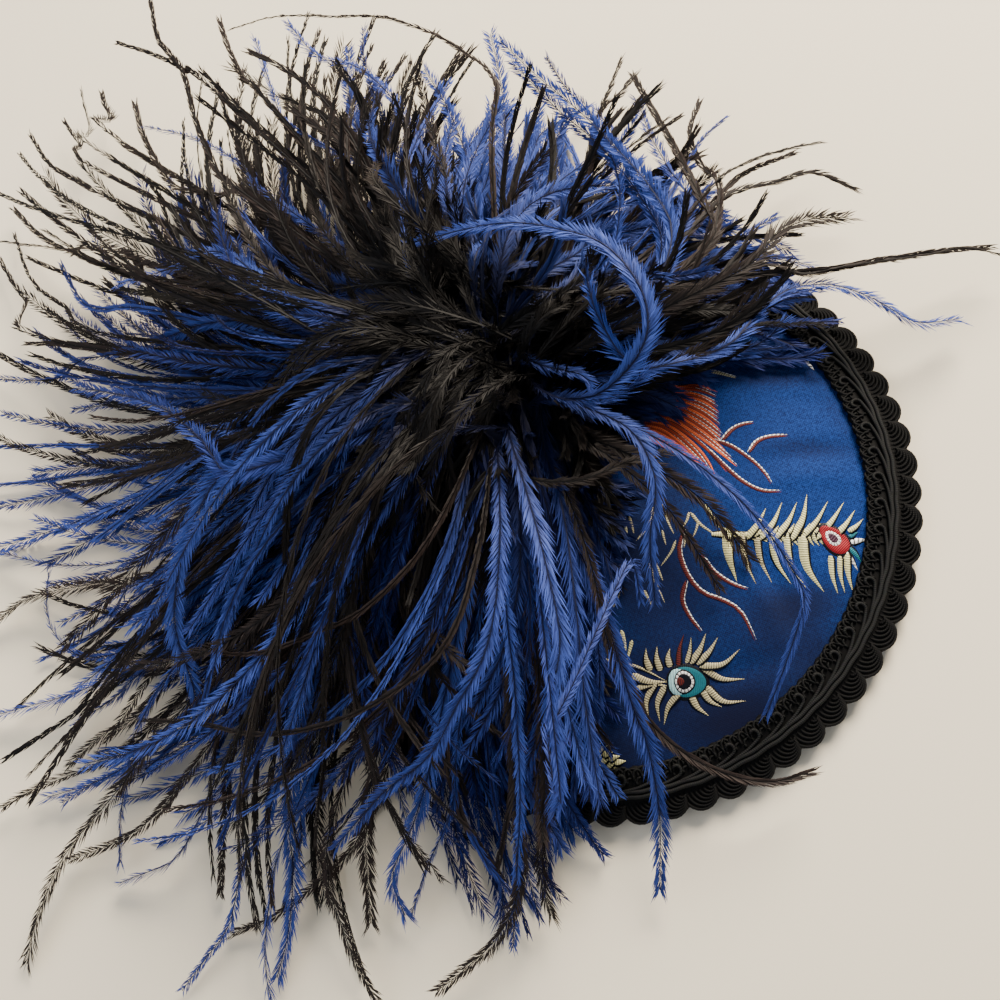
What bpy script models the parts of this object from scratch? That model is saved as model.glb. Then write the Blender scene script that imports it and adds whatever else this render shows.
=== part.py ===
"""Feather fascinator.

A shallow, hollow dome covered in brocade is edged with gimp braid. A plume of ostrich flues
stands on it in two layers, blue beneath and black above, and a plain hair comb is sewn
underneath. Lengths are in metres, +Z is up from the surface that it lies on, and the whole is
built about the base's centre, then moved so that the middle of its box is at the origin.
"""

import math
import random

import bmesh
import bpy
from mathutils import Vector

# Covered base
BASE_RADIUS = 0.0742
BASE_EDGE_HEIGHT = 0.0024
BASE_RISE = 0.0130
BASE_WALL = 0.0024
BASE_SEGMENTS = 54
BASE_RINGS = 6

# Puckers of the cloth: bearing in degrees, distance and spread as shares of the base's
# radius, depth as a share of its rise
PUCKERS = (
    (37, 0.80, 0.10, 0.09),
    (10, 0.74, 0.12, 0.08),
    (332, 0.66, 0.13, 0.07),
)

# Gimp braid
BRAID_WIDTH = 0.0120
BRAID_THICKNESS = 0.0026
BRAID_OVERHANG = 0.0010
SCALLOP_PITCH = 0.0073
SCALLOP_DEPTH = 0.0014
INNER_SCALLOP_DEPTH = 0.0006
STEPS_PER_SCALLOP = 3

# Braid section: distance in from the outer edge as a share of the width, height above its
# seat as a share of the thickness
BRAID_SECTION = (
    (0.00, 0.45),
    (0.12, 1.00),
    (0.80, 1.00),
    (1.00, 0.00),
    (0.02, 0.00),
)

# Plume: where its middle stands on the base, and the longest reach of its flues in plan
PLUME_BEARING = 129.0
PLUME_DISTANCE = 0.0350
FLUE_LENGTH = 0.150
LOCK_WIDTH = 0.0085
LOCK_THICKNESS = 0.0028
LOCK_FILL = 0.66
DRAPE = 0.025

BLUE_HEAD_RADIUS = 0.0150
BLUE_HEAD_HEIGHT = 0.0080
BLUE_LOCKS = 30
BLACK_HEAD_RADIUS = 0.0210
BLACK_HEAD_HEIGHT = 0.0280
BLACK_LOCKS = 24

# Head outlines: radius and height as shares of the head's own, from foot to crown
BLUE_HEAD = ((0.88, 0.00), (1.00, 0.10), (1.00, 0.42), (0.99, 0.55), (0.92, 0.88), (0.80, 1.00))
BLACK_HEAD = (
    (0.44, 0.00),
    (0.84, 0.14),
    (0.99, 0.27),
    (1.00, 0.40),
    (0.93, 0.56),
    (0.80, 0.72),
    (0.52, 0.90),
    (0.30, 0.97),
)

# Rings of locks: the outline's band that they grow from, launch angle in degrees, reach as a
# share of the plume's at that bearing, tip height added as a share of the reach, the share of
# the plume's own tip lift that they take, turn of each lock in plan as a share of its spacing
BLUE_RINGS = (
    (1, 6, 1.00, 0.010, 0.0, 0.00),
    (3, 19, 0.86, 0.055, 0.4, 0.50),
)
BLACK_RINGS = (
    (1, 18, 1.00, 0.050, 1.0, 0.00),
    (3, 30, 0.74, 0.110, 0.8, 0.50),
    (5, 54, 0.42, 0.240, 0.6, 0.25),
)

# Plume's outline by bearing in degrees: reach of the blue and of the black flues, and how far
# the black ones' tips lift, all as shares of the flue reach
PLUME_OUTLINE = (
    (0, 0.62, 0.52, 0.16),
    (8, 0.66, 0.82, 0.13),
    (24, 0.50, 0.60, 0.20),
    (60, 0.48, 0.50, 0.24),
    (90, 0.62, 0.60, 0.24),
    (112, 0.78, 0.80, 0.24),
    (148, 0.76, 0.97, 0.20),
    (180, 0.97, 0.94, 0.10),
    (210, 1.02, 0.98, 0.04),
    (232, 1.06, 1.18, 0.00),
    (255, 1.05, 1.03, 0.02),
    (280, 0.80, 0.84, 0.04),
    (305, 0.70, 0.62, 0.08),
    (330, 0.56, 0.44, 0.12),
)

# Lock sections: place along the lock, width and thickness as shares of the lock's own
LOCK_SECTIONS = (
    (0.16, 0.62, 0.95),
    (0.38, 1.00, 1.00),
    (0.62, 0.86, 0.80),
    (0.84, 0.50, 0.50),
    (1.00, 0.07, 0.16),
)

# Hair comb
COMB_WIDTH = 0.0620
COMB_SPINE = 0.0060
COMB_THICKNESS = 0.0020
COMB_TEETH = 14
TOOTH_LENGTH = 0.0260
TOOTH_FILL = 0.45
COMB_INSET = 0.0240

SEAT_GAP = 0.0003
SHARP_ANGLE = math.radians(40)

# Worked out from the sizes above
DOME_RADIUS = (BASE_RADIUS**2 + BASE_RISE**2) / (2 * BASE_RISE)
DOME_CENTRE = BASE_EDGE_HEIGHT + BASE_RISE - DOME_RADIUS
BRAID_RADIUS = BASE_RADIUS + BRAID_OVERHANG
SCALLOPS = round(math.tau * BRAID_RADIUS / SCALLOP_PITCH)


def dome_height(radius, offset=0.0):
    """Height of the dome, or of a surface laid offset outside it, at a radius in plan."""
    reach = DOME_RADIUS + offset
    return DOME_CENTRE + math.sqrt(max(reach**2 - radius**2, 0.0))


def in_plan(bearing, distance):
    """Point in plan at a bearing in degrees and a distance."""
    turn = math.radians(bearing)
    return Vector((distance * math.cos(turn), distance * math.sin(turn), 0.0))


def by_bearing(bearing, column):
    """A column of the plume's outline at any bearing, eased between its rows."""
    rows = PLUME_OUTLINE + ((PLUME_OUTLINE[0][0] + 360, *PLUME_OUTLINE[0][1:]),)
    bearing %= 360
    for before, after in zip(rows, rows[1:]):
        if before[0] <= bearing <= after[0]:
            share = (bearing - before[0]) / (after[0] - before[0])
            ease = share * share * (3 - 2 * share)
            return before[column] + (after[column] - before[column]) * ease
    return rows[-1][column]


def material(name, colour, roughness, metallic=0.0):
    """Principled material of one colour."""
    made = bpy.data.materials.new(name)
    made.use_nodes = True
    shader = made.node_tree.nodes["Principled BSDF"]
    shader.inputs["Base Color"].default_value = (*colour, 1.0)
    shader.inputs["Roughness"].default_value = roughness
    shader.inputs["Metallic"].default_value = metallic
    return made


def finish(bm, name, made_of, parent):
    """One closed body with its faces out, as a named object under the parent."""
    bmesh.ops.remove_doubles(bm, verts=bm.verts, dist=1e-6)
    bmesh.ops.recalc_face_normals(bm, faces=bm.faces)
    mesh = bpy.data.meshes.new(name)
    bm.to_mesh(mesh)
    bm.free()
    mesh.materials.append(made_of)
    mesh.shade_smooth()
    mesh.set_sharp_from_angle(angle=SHARP_ANGLE)
    made = bpy.data.objects.new(name, mesh)
    bpy.context.collection.objects.link(made)
    made.parent = parent
    return made


def turned(points, segments, looped=False):
    """A profile of (radius, height) points turned about Z in equal steps."""
    bm = bmesh.new()
    verts = [bm.verts.new((radius, 0.0, height)) for radius, height in points]
    edges = [bm.edges.new(pair) for pair in zip(verts, verts[1:])]
    if looped:
        edges.append(bm.edges.new((verts[-1], verts[0])))
    bmesh.ops.spin(
        bm,
        geom=verts + edges,
        axis=(0, 0, 1),
        cent=(0, 0, 0),
        angle=math.tau,
        steps=segments,
        use_merge=True,
    )
    bmesh.ops.remove_doubles(bm, verts=bm.verts, dist=1e-6)
    return bm


def pucker_depth(point):
    """How far the cloth is drawn down at a point in plan."""
    depth = 0.0
    for bearing, distance, spread, share in PUCKERS:
        away = (point.xy - in_plan(bearing, distance * BASE_RADIUS).xy).length
        depth += share * BASE_RISE * math.exp(-((away / (spread * BASE_RADIUS)) ** 2))
    return depth


def build_base(made_of, parent):
    """Shell between two spheres about one centre, cut off square at a flat rim."""
    shares = [ring / BASE_RINGS for ring in range(BASE_RINGS + 1)]
    outer = [(BASE_RADIUS * share, dome_height(BASE_RADIUS * share)) for share in shares]
    inside = BASE_RADIUS - BASE_WALL
    inner = [(inside * share, dome_height(inside * share, -BASE_WALL)) for share in shares]
    rim = [(BASE_RADIUS, 0.0), (inside, 0.0)]
    bm = turned(outer + rim + inner[::-1], BASE_SEGMENTS)
    for vert in bm.verts:
        if vert.co.z > BASE_EDGE_HEIGHT:
            vert.co.z -= pucker_depth(vert.co)
    return finish(bm, "brocade_base", made_of, parent)


def build_braid(made_of, parent):
    """A flat ring on the dome's slope, with lobes outside and shallower ones inside."""
    inner_edge = BRAID_RADIUS - BRAID_WIDTH
    section = []
    for across, up in BRAID_SECTION:
        radius = BRAID_RADIUS - across * BRAID_WIDTH
        section.append((radius, dome_height(radius, SEAT_GAP + up * BRAID_THICKNESS)))
    bm = turned(section, SCALLOPS * STEPS_PER_SCALLOP, looped=True)
    for vert in bm.verts:
        turn = math.atan2(vert.co.y, vert.co.x)
        radius = vert.co.xy.length
        lobe = abs(math.sin(turn * SCALLOPS / 2)) ** 0.7
        across = (radius - inner_edge) / BRAID_WIDTH
        if across > 0.5:
            push = SCALLOP_DEPTH * lobe
        else:
            push = -INNER_SCALLOP_DEPTH * lobe
        vert.co.xy *= (radius + push) / radius
    return finish(bm, "gimp_braid", made_of, parent)


def surface_below(point):
    """Height of what a flue lies on: the dome and its braid, a slope off the edge, the floor."""
    top = SEAT_GAP + BRAID_THICKNESS
    edge = BRAID_RADIUS + SCALLOP_DEPTH
    radius = point.xy.length
    if radius < edge:
        return dome_height(radius, top)
    return dome_height(edge, top) * max(0.0, 1.0 - (radius - edge) / DRAPE)


def lock_path(root, launch, tip):
    """Curve of second degree from the root along its launch direction to the tip."""
    control = root + launch * (0.45 * (tip - root).length)

    def at(share):
        rest = 1.0 - share
        point = root * rest**2 + control * (2 * rest * share) + tip * share**2
        heading = (control - root) * rest + (tip - control) * share
        return point, heading.normalized()

    return at


def grow_lock(bm, face, path, foot, count):
    """Extrudes a face of the head through the lock's sections, each square to the path and no
    wider than the lock's share of the circle about the foot."""
    centre = face.calc_center_median()
    start_side = path(0.0)[1].cross(Vector((0, 0, 1))).normalized()
    corners = []
    for vert in face.verts:
        offset = vert.co - centre
        corners.append((math.copysign(1, offset.dot(start_side)), math.copysign(1, offset.z)))
    for share, wide, thick in LOCK_SECTIONS:
        point, heading = path(share)
        side = heading.cross(Vector((0, 0, 1))).normalized()
        up = side.cross(heading)
        room = LOCK_FILL * math.tau * (point - foot).xy.length / count
        width = min(wide * LOCK_WIDTH, room)
        face = bmesh.ops.extrude_discrete_faces(bm, faces=[face])["faces"][0]
        for vert, (right, above) in zip(face.verts, corners):
            vert.co = point + side * (right * width / 2)
            vert.co += up * (above * thick * LOCK_THICKNESS / 2)


def build_feathers(name, outline, size, foot, tilt, rings, count, column, made_of, parent):
    """A turned head, and a ring of locks from each band of faces that the table names."""
    head_radius, head_height = size
    profile = [(radius * head_radius, height * head_height) for radius, height in outline]
    bm = turned([(0.0, profile[0][1])] + profile + [(0.0, profile[-1][1])], count)
    bands = []
    for band, *_ in rings:
        low, high = profile[band][1], profile[band + 1][1]
        middle = (low + high) / 2
        near = (high - low) / 4
        bands.append([f for f in bm.faces if abs(f.calc_center_median().z - middle) < near])
    for vert in bm.verts:
        vert.co = foot + tilt @ vert.co
    spacing = 360 / count
    chance = random.Random(name)
    for faces, (_, launch_angle, reach_share, tip_share, lift_share, turn) in zip(bands, rings):
        for face in faces:
            centre = face.calc_center_median()
            outward = tilt.inverted() @ (centre - foot)
            bearing = math.degrees(math.atan2(outward.y, outward.x))
            launch = in_plan(bearing, math.cos(math.radians(launch_angle)))
            launch.z = math.sin(math.radians(launch_angle))
            heading = bearing + turn * spacing + chance.uniform(-0.15, 0.15) * spacing
            reach = FLUE_LENGTH * reach_share * by_bearing(heading, column)
            reach *= 1.0 + chance.uniform(-0.05, 0.03)
            tip = foot + in_plan(heading, reach)
            lift = lift_share * by_bearing(heading, 3) + tip_share
            tip.z = surface_below(tip) + LOCK_THICKNESS / 2 + FLUE_LENGTH * lift
            grow_lock(bm, face, lock_path(centre, tilt @ launch, tip), foot, count)
    return finish(bm, name, made_of, parent)


def build_comb(made_of, parent):
    """A comb's outline, a spine with square teeth, extruded to its thickness."""
    half = COMB_WIDTH / 2
    pitch = COMB_WIDTH / (COMB_TEETH - 1 + TOOTH_FILL)
    points = [(half, 0.0), (half, COMB_SPINE), (-half, COMB_SPINE), (-half, 0.0)]
    for tooth in range(COMB_TEETH):
        left = -half + tooth * pitch
        right = left + TOOTH_FILL * pitch
        tip = TOOTH_FILL * pitch / 4
        if tooth:
            points.append((left, 0.0))
        points += [(left, -TOOTH_LENGTH + tip), (left + tip, -TOOTH_LENGTH)]
        points += [(right - tip, -TOOTH_LENGTH), (right, -TOOTH_LENGTH + tip)]
        if tooth < COMB_TEETH - 1:
            points.append((right, 0.0))
    bm = bmesh.new()
    outline = bm.faces.new([bm.verts.new((x, y, 0.0)) for x, y in points])
    grown = bmesh.ops.extrude_face_region(bm, geom=[outline])["geom"]
    moved = [item for item in grown if isinstance(item, bmesh.types.BMVert)]
    bmesh.ops.translate(bm, verts=moved, vec=(0, 0, -COMB_THICKNESS))
    comb = finish(bm, "hair_comb", made_of, parent)
    spine_back = BASE_RADIUS - COMB_INSET
    corner = math.hypot(half, spine_back)
    top = dome_height(corner, -BASE_WALL - SEAT_GAP)
    comb.location = (0.0, spine_back - COMB_SPINE, top)
    return comb


def plume_stand(lift):
    """The plume's foot on the dome, raised along the dome's own normal, and its tilt."""
    spot = in_plan(PLUME_BEARING, PLUME_DISTANCE)
    spot.z = dome_height(PLUME_DISTANCE)
    normal = (spot - Vector((0, 0, DOME_CENTRE))).normalized()
    tilt = Vector((0, 0, 1)).rotation_difference(normal).to_matrix()
    return spot + normal * lift, tilt


def centre_on_box(parent):
    """Moves the parent so that the middle of its children's box is over the origin."""
    bpy.context.view_layer.update()
    corners = [child.matrix_world @ v.co for child in parent.children for v in child.data.vertices]
    low = [min(corner[axis] for corner in corners) for axis in range(3)]
    high = [max(corner[axis] for corner in corners) for axis in range(3)]
    parent.location = (-(low[0] + high[0]) / 2, -(low[1] + high[1]) / 2, -low[2])


def main():
    for old in list(bpy.data.objects):
        bpy.data.objects.remove(old)
    root = bpy.data.objects.new("fascinator", None)
    bpy.context.collection.objects.link(root)

    brocade = material("blue satin brocade", (0.012, 0.052, 0.240), 0.42)
    gimp = material("black rayon gimp", (0.012, 0.012, 0.013), 0.55)
    blue = material("blue ostrich flues", (0.016, 0.035, 0.200), 0.62)
    black = material("black ostrich flues", (0.011, 0.008, 0.008), 0.66)
    plastic = material("clear brown plastic", (0.060, 0.030, 0.020), 0.25)

    build_base(brocade, root)
    build_braid(gimp, root)
    foot, tilt = plume_stand(SEAT_GAP)
    size = (BLUE_HEAD_RADIUS, BLUE_HEAD_HEIGHT)
    build_feathers("blue_feathers", BLUE_HEAD, size, foot, tilt, BLUE_RINGS, BLUE_LOCKS, 1, blue, root)
    foot, tilt = plume_stand(BLUE_HEAD_HEIGHT + 2 * SEAT_GAP)
    size = (BLACK_HEAD_RADIUS, BLACK_HEAD_HEIGHT)
    build_feathers(
        "black_feathers", BLACK_HEAD, size, foot, tilt, BLACK_RINGS, BLACK_LOCKS, 2, black, root
    )
    build_comb(plastic, root)
    centre_on_box(root)


if __name__ == "__main__":
    main()
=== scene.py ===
"""Feather fascinator: brocade over a shallow dome, scroll gimp round its edge, raised metallic
feathers in the weave, and a plume of blue and black ostrich flues.

Every piece is worked out in metres about the middle of the base, on the surface that it lies
on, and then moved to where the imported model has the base. Directions in plan are bearings in
degrees, turned from +X towards +Y. Points read on the photograph are in its 1000 by 1000
frame, and are carried to a height above the table along the camera's own rays."""

import math

import bpy
import numpy as np
from mathutils import Matrix, Vector


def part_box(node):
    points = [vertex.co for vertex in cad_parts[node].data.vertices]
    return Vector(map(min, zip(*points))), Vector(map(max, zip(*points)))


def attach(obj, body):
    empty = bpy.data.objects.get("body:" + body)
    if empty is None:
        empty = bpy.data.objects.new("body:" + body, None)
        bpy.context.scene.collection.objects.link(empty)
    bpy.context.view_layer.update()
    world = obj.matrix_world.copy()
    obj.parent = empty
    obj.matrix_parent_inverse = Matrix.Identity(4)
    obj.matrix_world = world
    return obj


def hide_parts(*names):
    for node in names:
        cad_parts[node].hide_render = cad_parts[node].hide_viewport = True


bl_info = {
    "name": "Feather fascinator",
    "version": (1, 0, 0),
    "blender": (4, 5, 0),
    "location": "View3D > Sidebar > Fascinator",
    "description": "Builds a brocade fascinator with a plume of ostrich flues",
    "category": "Add Mesh",
}

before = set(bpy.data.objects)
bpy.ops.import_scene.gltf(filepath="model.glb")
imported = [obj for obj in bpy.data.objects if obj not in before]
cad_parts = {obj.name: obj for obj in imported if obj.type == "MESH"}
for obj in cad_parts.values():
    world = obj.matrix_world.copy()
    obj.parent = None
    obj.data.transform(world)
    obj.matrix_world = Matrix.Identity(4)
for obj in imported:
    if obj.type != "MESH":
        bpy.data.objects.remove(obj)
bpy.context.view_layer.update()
BASE_LOW, BASE_HIGH = (np.array(corner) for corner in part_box("brocade_base"))
BASE_MIDDLE = np.array([*(BASE_LOW + BASE_HIGH)[:2] / 2, BASE_LOW[2]])

MM = 0.001
FRAME_PIXELS = 1000

# The base, as in the solids
BASE_RADIUS = float(BASE_HIGH[0] - BASE_LOW[0]) / 2
CROWN_HEIGHT = float(BASE_HIGH[2] - BASE_LOW[2])
EDGE_HEIGHT = 2.4 * MM
BASE_WALL = 2.4 * MM
DOME_RISE = CROWN_HEIGHT - EDGE_HEIGHT
DOME_RADIUS = (BASE_RADIUS**2 + DOME_RISE**2) / (2 * DOME_RISE)
DOME_CENTRE = CROWN_HEIGHT - DOME_RADIUS

# The braid, as in the solids
BRAID_WIDTH = 12.0 * MM
BRAID_RADIUS = BASE_RADIUS + 1.0 * MM
BRAID_SEAT = 0.3 * MM
BRAID_THICKNESS = 2.6 * MM
SCALLOPS = 65

# The plume's foot on the dome, as in the solids
PLUME_BEARING = 129.0
PLUME_DISTANCE = 35.0 * MM


def in_plan(bearing, distance):
    """Points in plan at bearings in degrees and distances, as an array ending in x and y."""
    turn = np.radians(bearing)
    return np.stack([distance * np.cos(turn), distance * np.sin(turn)], axis=-1)


def dome_height(radius, offset=0.0):
    """Height of a sphere offset outside the dome's own, at a radius in plan."""
    return DOME_CENTRE + np.sqrt(np.maximum((DOME_RADIUS + offset) ** 2 - radius**2, 0.0))


# Folds of the cloth under the braid's edge: the middle's bearing and distance as a share of
# the base's radius, the fold's own bearing, half its length and half its width in mm, depth
FOLDS = (
    (37, 0.78, 5, 17, 2.2, 0.55),
    (30, 0.74, 2, 13, 1.6, -0.30),
    (12, 0.72, 8, 15, 2.6, 0.60),
    (5, 0.70, 4, 12, 1.8, -0.35),
    (335, 0.60, 300, 13, 3.2, 0.70),
    (326, 0.66, 296, 12, 2.6, -0.40),
    (310, 0.72, 20, 12, 3.0, 0.50),
    (285, 0.78, 70, 9, 2.4, 0.45),
    (60, 0.78, 240, 10, 2.4, 0.40),
    (350, 0.80, 170, 8, 1.8, 0.30),
)


def fold_depth(x, y):
    """Sum of long dips, each the product of a bell along its length and one across it."""
    depth = np.zeros_like(x)
    for bearing, distance, heading, half_length, half_width, deep in FOLDS:
        middle = in_plan(bearing, distance * BASE_RADIUS)
        ahead = in_plan(heading, 1.0)
        along = (x - middle[0]) * ahead[0] + (y - middle[1]) * ahead[1]
        across = (y - middle[1]) * ahead[0] - (x - middle[0]) * ahead[1]
        bend = across + 0.15 * along * np.sin(along / (half_length * MM))
        depth += deep * MM * np.exp(
            -((along / (half_length * MM)) ** 2) - (bend / (half_width * MM)) ** 2
        )
    return depth


def cloth_height(x, y):
    """Height of the brocade at points in plan: the dome less its folds."""
    return dome_height(np.hypot(x, y)) - fold_depth(x, y)


def lying_height(x, y):
    """Height of what a flue lies on: the cloth, the braid, then a slope to the table."""
    radius = np.hypot(x, y)
    edge = BRAID_RADIUS + 1.5 * MM
    inner = BRAID_RADIUS - BRAID_WIDTH
    over_braid = dome_height(np.minimum(radius, edge), BRAID_SEAT + BRAID_THICKNESS)
    off_edge = over_braid * np.clip(1.0 - (radius - edge) / (6 * MM), 0.0, 1.0)
    on_cloth = dome_height(radius) + 0.3 * MM
    return np.where(radius < inner - 1 * MM, on_cloth, np.where(radius < edge, over_braid, off_edge))


# The photograph's view, about the base's middle
VIEW_FIELD = 40.0
VIEW_ELEVATION = 68.4
VIEW_ROLL = -31.8
VIEW_DISTANCE = 0.3455
VIEW_TARGET = (-0.02536, 0.00428, 0.0)


def view_axes():
    """Camera's place, and its right, up and forward directions, about the base's middle.

    It looks along the bearing that brings the photograph's right side to +X, down by the
    elevation, and is rolled about its own line of sight."""
    turn, down, roll = np.radians([-VIEW_ROLL, VIEW_ELEVATION, VIEW_ROLL])
    forward = np.array([-np.sin(turn) * np.cos(down), np.cos(turn) * np.cos(down), -np.sin(down)])
    level = np.array([np.cos(turn), np.sin(turn), 0.0])
    upright = np.cross(level, forward)
    right = np.cos(roll) * level + np.sin(roll) * upright
    up = -np.sin(roll) * level + np.cos(roll) * upright
    return np.array(VIEW_TARGET) - VIEW_DISTANCE * forward, right, up, forward


def photo_rays(pixels):
    """Camera's place, and the direction through each pixel of the photograph."""
    place, right, up, forward = view_axes()
    half = FRAME_PIXELS / 2
    spread = math.tan(math.radians(VIEW_FIELD / 2)) / half
    pixels = np.asarray(pixels, float)
    across = (pixels[..., :1] - half) * spread
    down = (pixels[..., 1:2] - half) * spread
    return place, forward + across * right - down * up


def photo_at_height(pixels, height):
    """Points on the photograph's rays at given heights above the table."""
    place, rays = photo_rays(pixels)
    reach = (np.asarray(height, float) - place[2]) / rays[..., 2]
    return place + rays * reach[..., None]


def photo_on_cloth(pixels):
    """Points in plan where the photograph's rays meet the dome, by a few corrections of the
    height that each ray is followed to."""
    height = np.full(np.shape(pixels)[:-1], CROWN_HEIGHT)
    for _ in range(5):
        points = photo_at_height(pixels, height)
        height = cloth_height(points[..., 0], points[..., 1])
    return points[..., :2]


def linear(hex_colour):
    """sRGB hex to linear red, green, blue and a full alpha."""
    channels = [int(hex_colour[i : i + 2], 16) / 255 for i in (1, 3, 5)]
    return (*(c / 12.92 if c <= 0.04045 else ((c + 0.055) / 1.055) ** 2.4 for c in channels), 1.0)


def add_node(tree, kind, inputs=None, output=0, stops=(), **settings):
    """Adds a shader node with its settings, sets or links each input by its name or number,
    gives a colour ramp its stops, and returns the output asked for."""
    node = tree.nodes.new("ShaderNode" + kind)
    for name, value in settings.items():
        setattr(node, name, value)
    for name, value in (inputs or {}).items():
        if isinstance(value, bpy.types.NodeSocket):
            tree.links.new(value, node.inputs[name])
        else:
            node.inputs[name].default_value = value
    if stops:
        elements = node.color_ramp.elements
        while len(elements) < len(stops):
            elements.new(0.5)
        for index, (position, colour) in enumerate(stops):
            elements[index].position = position
            elements[index].color = colour
    return node.outputs[output]


# Numbers of a Mix node's colour inputs and output
MIX_A, MIX_B, MIX_OUT = 6, 7, 2


def new_material(name, inputs):
    """A material of one Principled shader with these inputs, its tree and that shader."""
    material = bpy.data.materials.new(name)
    material.use_nodes = True
    tree = material.node_tree
    shader = tree.nodes["Principled BSDF"]
    for socket, value in inputs.items():
        shader.inputs[socket].default_value = value
    return material, tree, shader


def rows_of(points, columns_closed, rows_closed=False):
    """Quads over points laid out as rows by columns, either way closed on itself or open."""
    rows, columns = points.shape[:2]
    index = np.arange(rows * columns).reshape(rows, columns)
    here = index if rows_closed else index[:-1]
    there = np.roll(index, -1, axis=0) if rows_closed else index[1:]
    if columns_closed:
        sides = (here, np.roll(here, -1, axis=1), np.roll(there, -1, axis=1), there)
    else:
        sides = (here[:, :-1], here[:, 1:], there[:, 1:], there[:, :-1])
    return np.stack([side.ravel() for side in sides], axis=1)


class Pile:
    """Points, faces and per-point values of one piece, gathered before the mesh is made."""

    def __init__(self, *value_names):
        self.points, self.faces, self.count = [], [], 0
        self.values = {name: [] for name in value_names}

    def add(self, points, faces, **values):
        """Adds points with faces of one number of corners, and values spread over the points."""
        points = np.asarray(points, float).reshape(-1, 3)
        self.points.append(points)
        self.faces.append(np.asarray(faces) + self.count)
        for name, parts in self.values.items():
            parts.append(np.broadcast_to(values[name], (len(points),)))
        self.count += len(points)

    def add_grids(self, grids, columns_closed, rows_closed=False, **values):
        """Adds many like grids of points at once: an array of grids, rows, columns, xyz."""
        faces = rows_of(grids[0], columns_closed, rows_closed)
        size = grids.shape[1] * grids.shape[2]
        offsets = np.arange(len(grids))[:, None, None] * size
        self.add(grids, (faces[None] + offsets).reshape(-1, faces.shape[1]), **values)

    def make(self, name, material, slot, replaced, smooth=True):
        """The mesh as an object at the origin, riding on the one body."""
        points = np.concatenate(self.points) + BASE_MIDDLE
        corners = np.concatenate([faces.ravel() for faces in self.faces])
        sizes = np.concatenate([np.full(len(f), f.shape[1]) for f in self.faces])
        mesh = bpy.data.meshes.new(name)
        mesh.vertices.add(len(points))
        mesh.vertices.foreach_set("co", points.ravel())
        mesh.loops.add(len(corners))
        mesh.loops.foreach_set("vertex_index", corners.astype(np.int32))
        mesh.polygons.add(len(sizes))
        mesh.polygons.foreach_set("loop_start", np.concatenate([[0], np.cumsum(sizes)[:-1]]))
        mesh.polygons.foreach_set("use_smooth", np.full(len(sizes), smooth))
        mesh.update(calc_edges=True)
        for value_name, parts in self.values.items():
            layer = mesh.attributes.new(value_name, "FLOAT", "POINT")
            layer.data.foreach_set("value", np.concatenate(parts).astype(np.float32))
        mesh.materials.append(material)
        piece = bpy.data.objects.new(name, mesh)
        bpy.context.collection.objects.link(piece)
        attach(piece, "root")
        for node in replaced:
            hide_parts(node)
        return piece


UPWARDS = np.array([0, 0, 1.0])


def unit(vectors):
    """Vectors scaled to length one."""
    return vectors / np.maximum(np.linalg.norm(vectors, axis=-1, keepdims=True), 1e-12)


def tubes(paths, radii, sides, facing, flatten=1.0, closed=False):
    """Rings of points round each path: the sum of cosine times its side and sine times its
    lift, with the side square to the path and to the facing direction."""
    if closed:
        ahead = np.roll(paths, -1, axis=1) - np.roll(paths, 1, axis=1)
    else:
        ahead = np.gradient(paths, axis=1)
    ahead = unit(ahead)
    side = unit(np.cross(ahead, facing))
    lift = np.cross(side, ahead)
    turn = np.arange(sides) * math.tau / sides
    radii = np.broadcast_to(radii, paths.shape[:2])[:, :, None, None]
    ring = np.cos(turn)[:, None] * side[:, :, None] + flatten * np.sin(turn)[:, None] * lift[:, :, None]
    return paths[:, :, None] + radii * ring


def smooth_route(points, count):
    """A curve through given points, each stretch a cubic set by its neighbours, read at evenly spread
    places."""
    points = np.asarray(points, float)
    padded = np.vstack([2 * points[0] - points[1], points, 2 * points[-1] - points[-2]])
    steps = np.linalg.norm(np.diff(points, axis=0), axis=1)
    reach = np.concatenate([[0], np.cumsum(steps)])
    place = np.linspace(0, reach[-1], count)
    stretch = np.clip(np.searchsorted(reach, place, side="right") - 1, 0, len(points) - 2)
    share = ((place - reach[stretch]) / steps[stretch])[:, None]
    p0, p1, p2, p3 = (padded[stretch + k] for k in range(4))
    return 0.5 * (
        2 * p1
        + (p2 - p0) * share
        + (2 * p0 - 5 * p1 + 4 * p2 - p3) * share**2
        + (3 * p1 - p0 - 3 * p2 + p3) * share**3
    )


# Brocade over the base

TOP_RINGS, UNDER_RINGS, ROUND_COLUMNS = 84, 10, 216
RIM_ROUND = 0.9 * MM
FOOT_ROUND = 0.6 * MM


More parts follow.
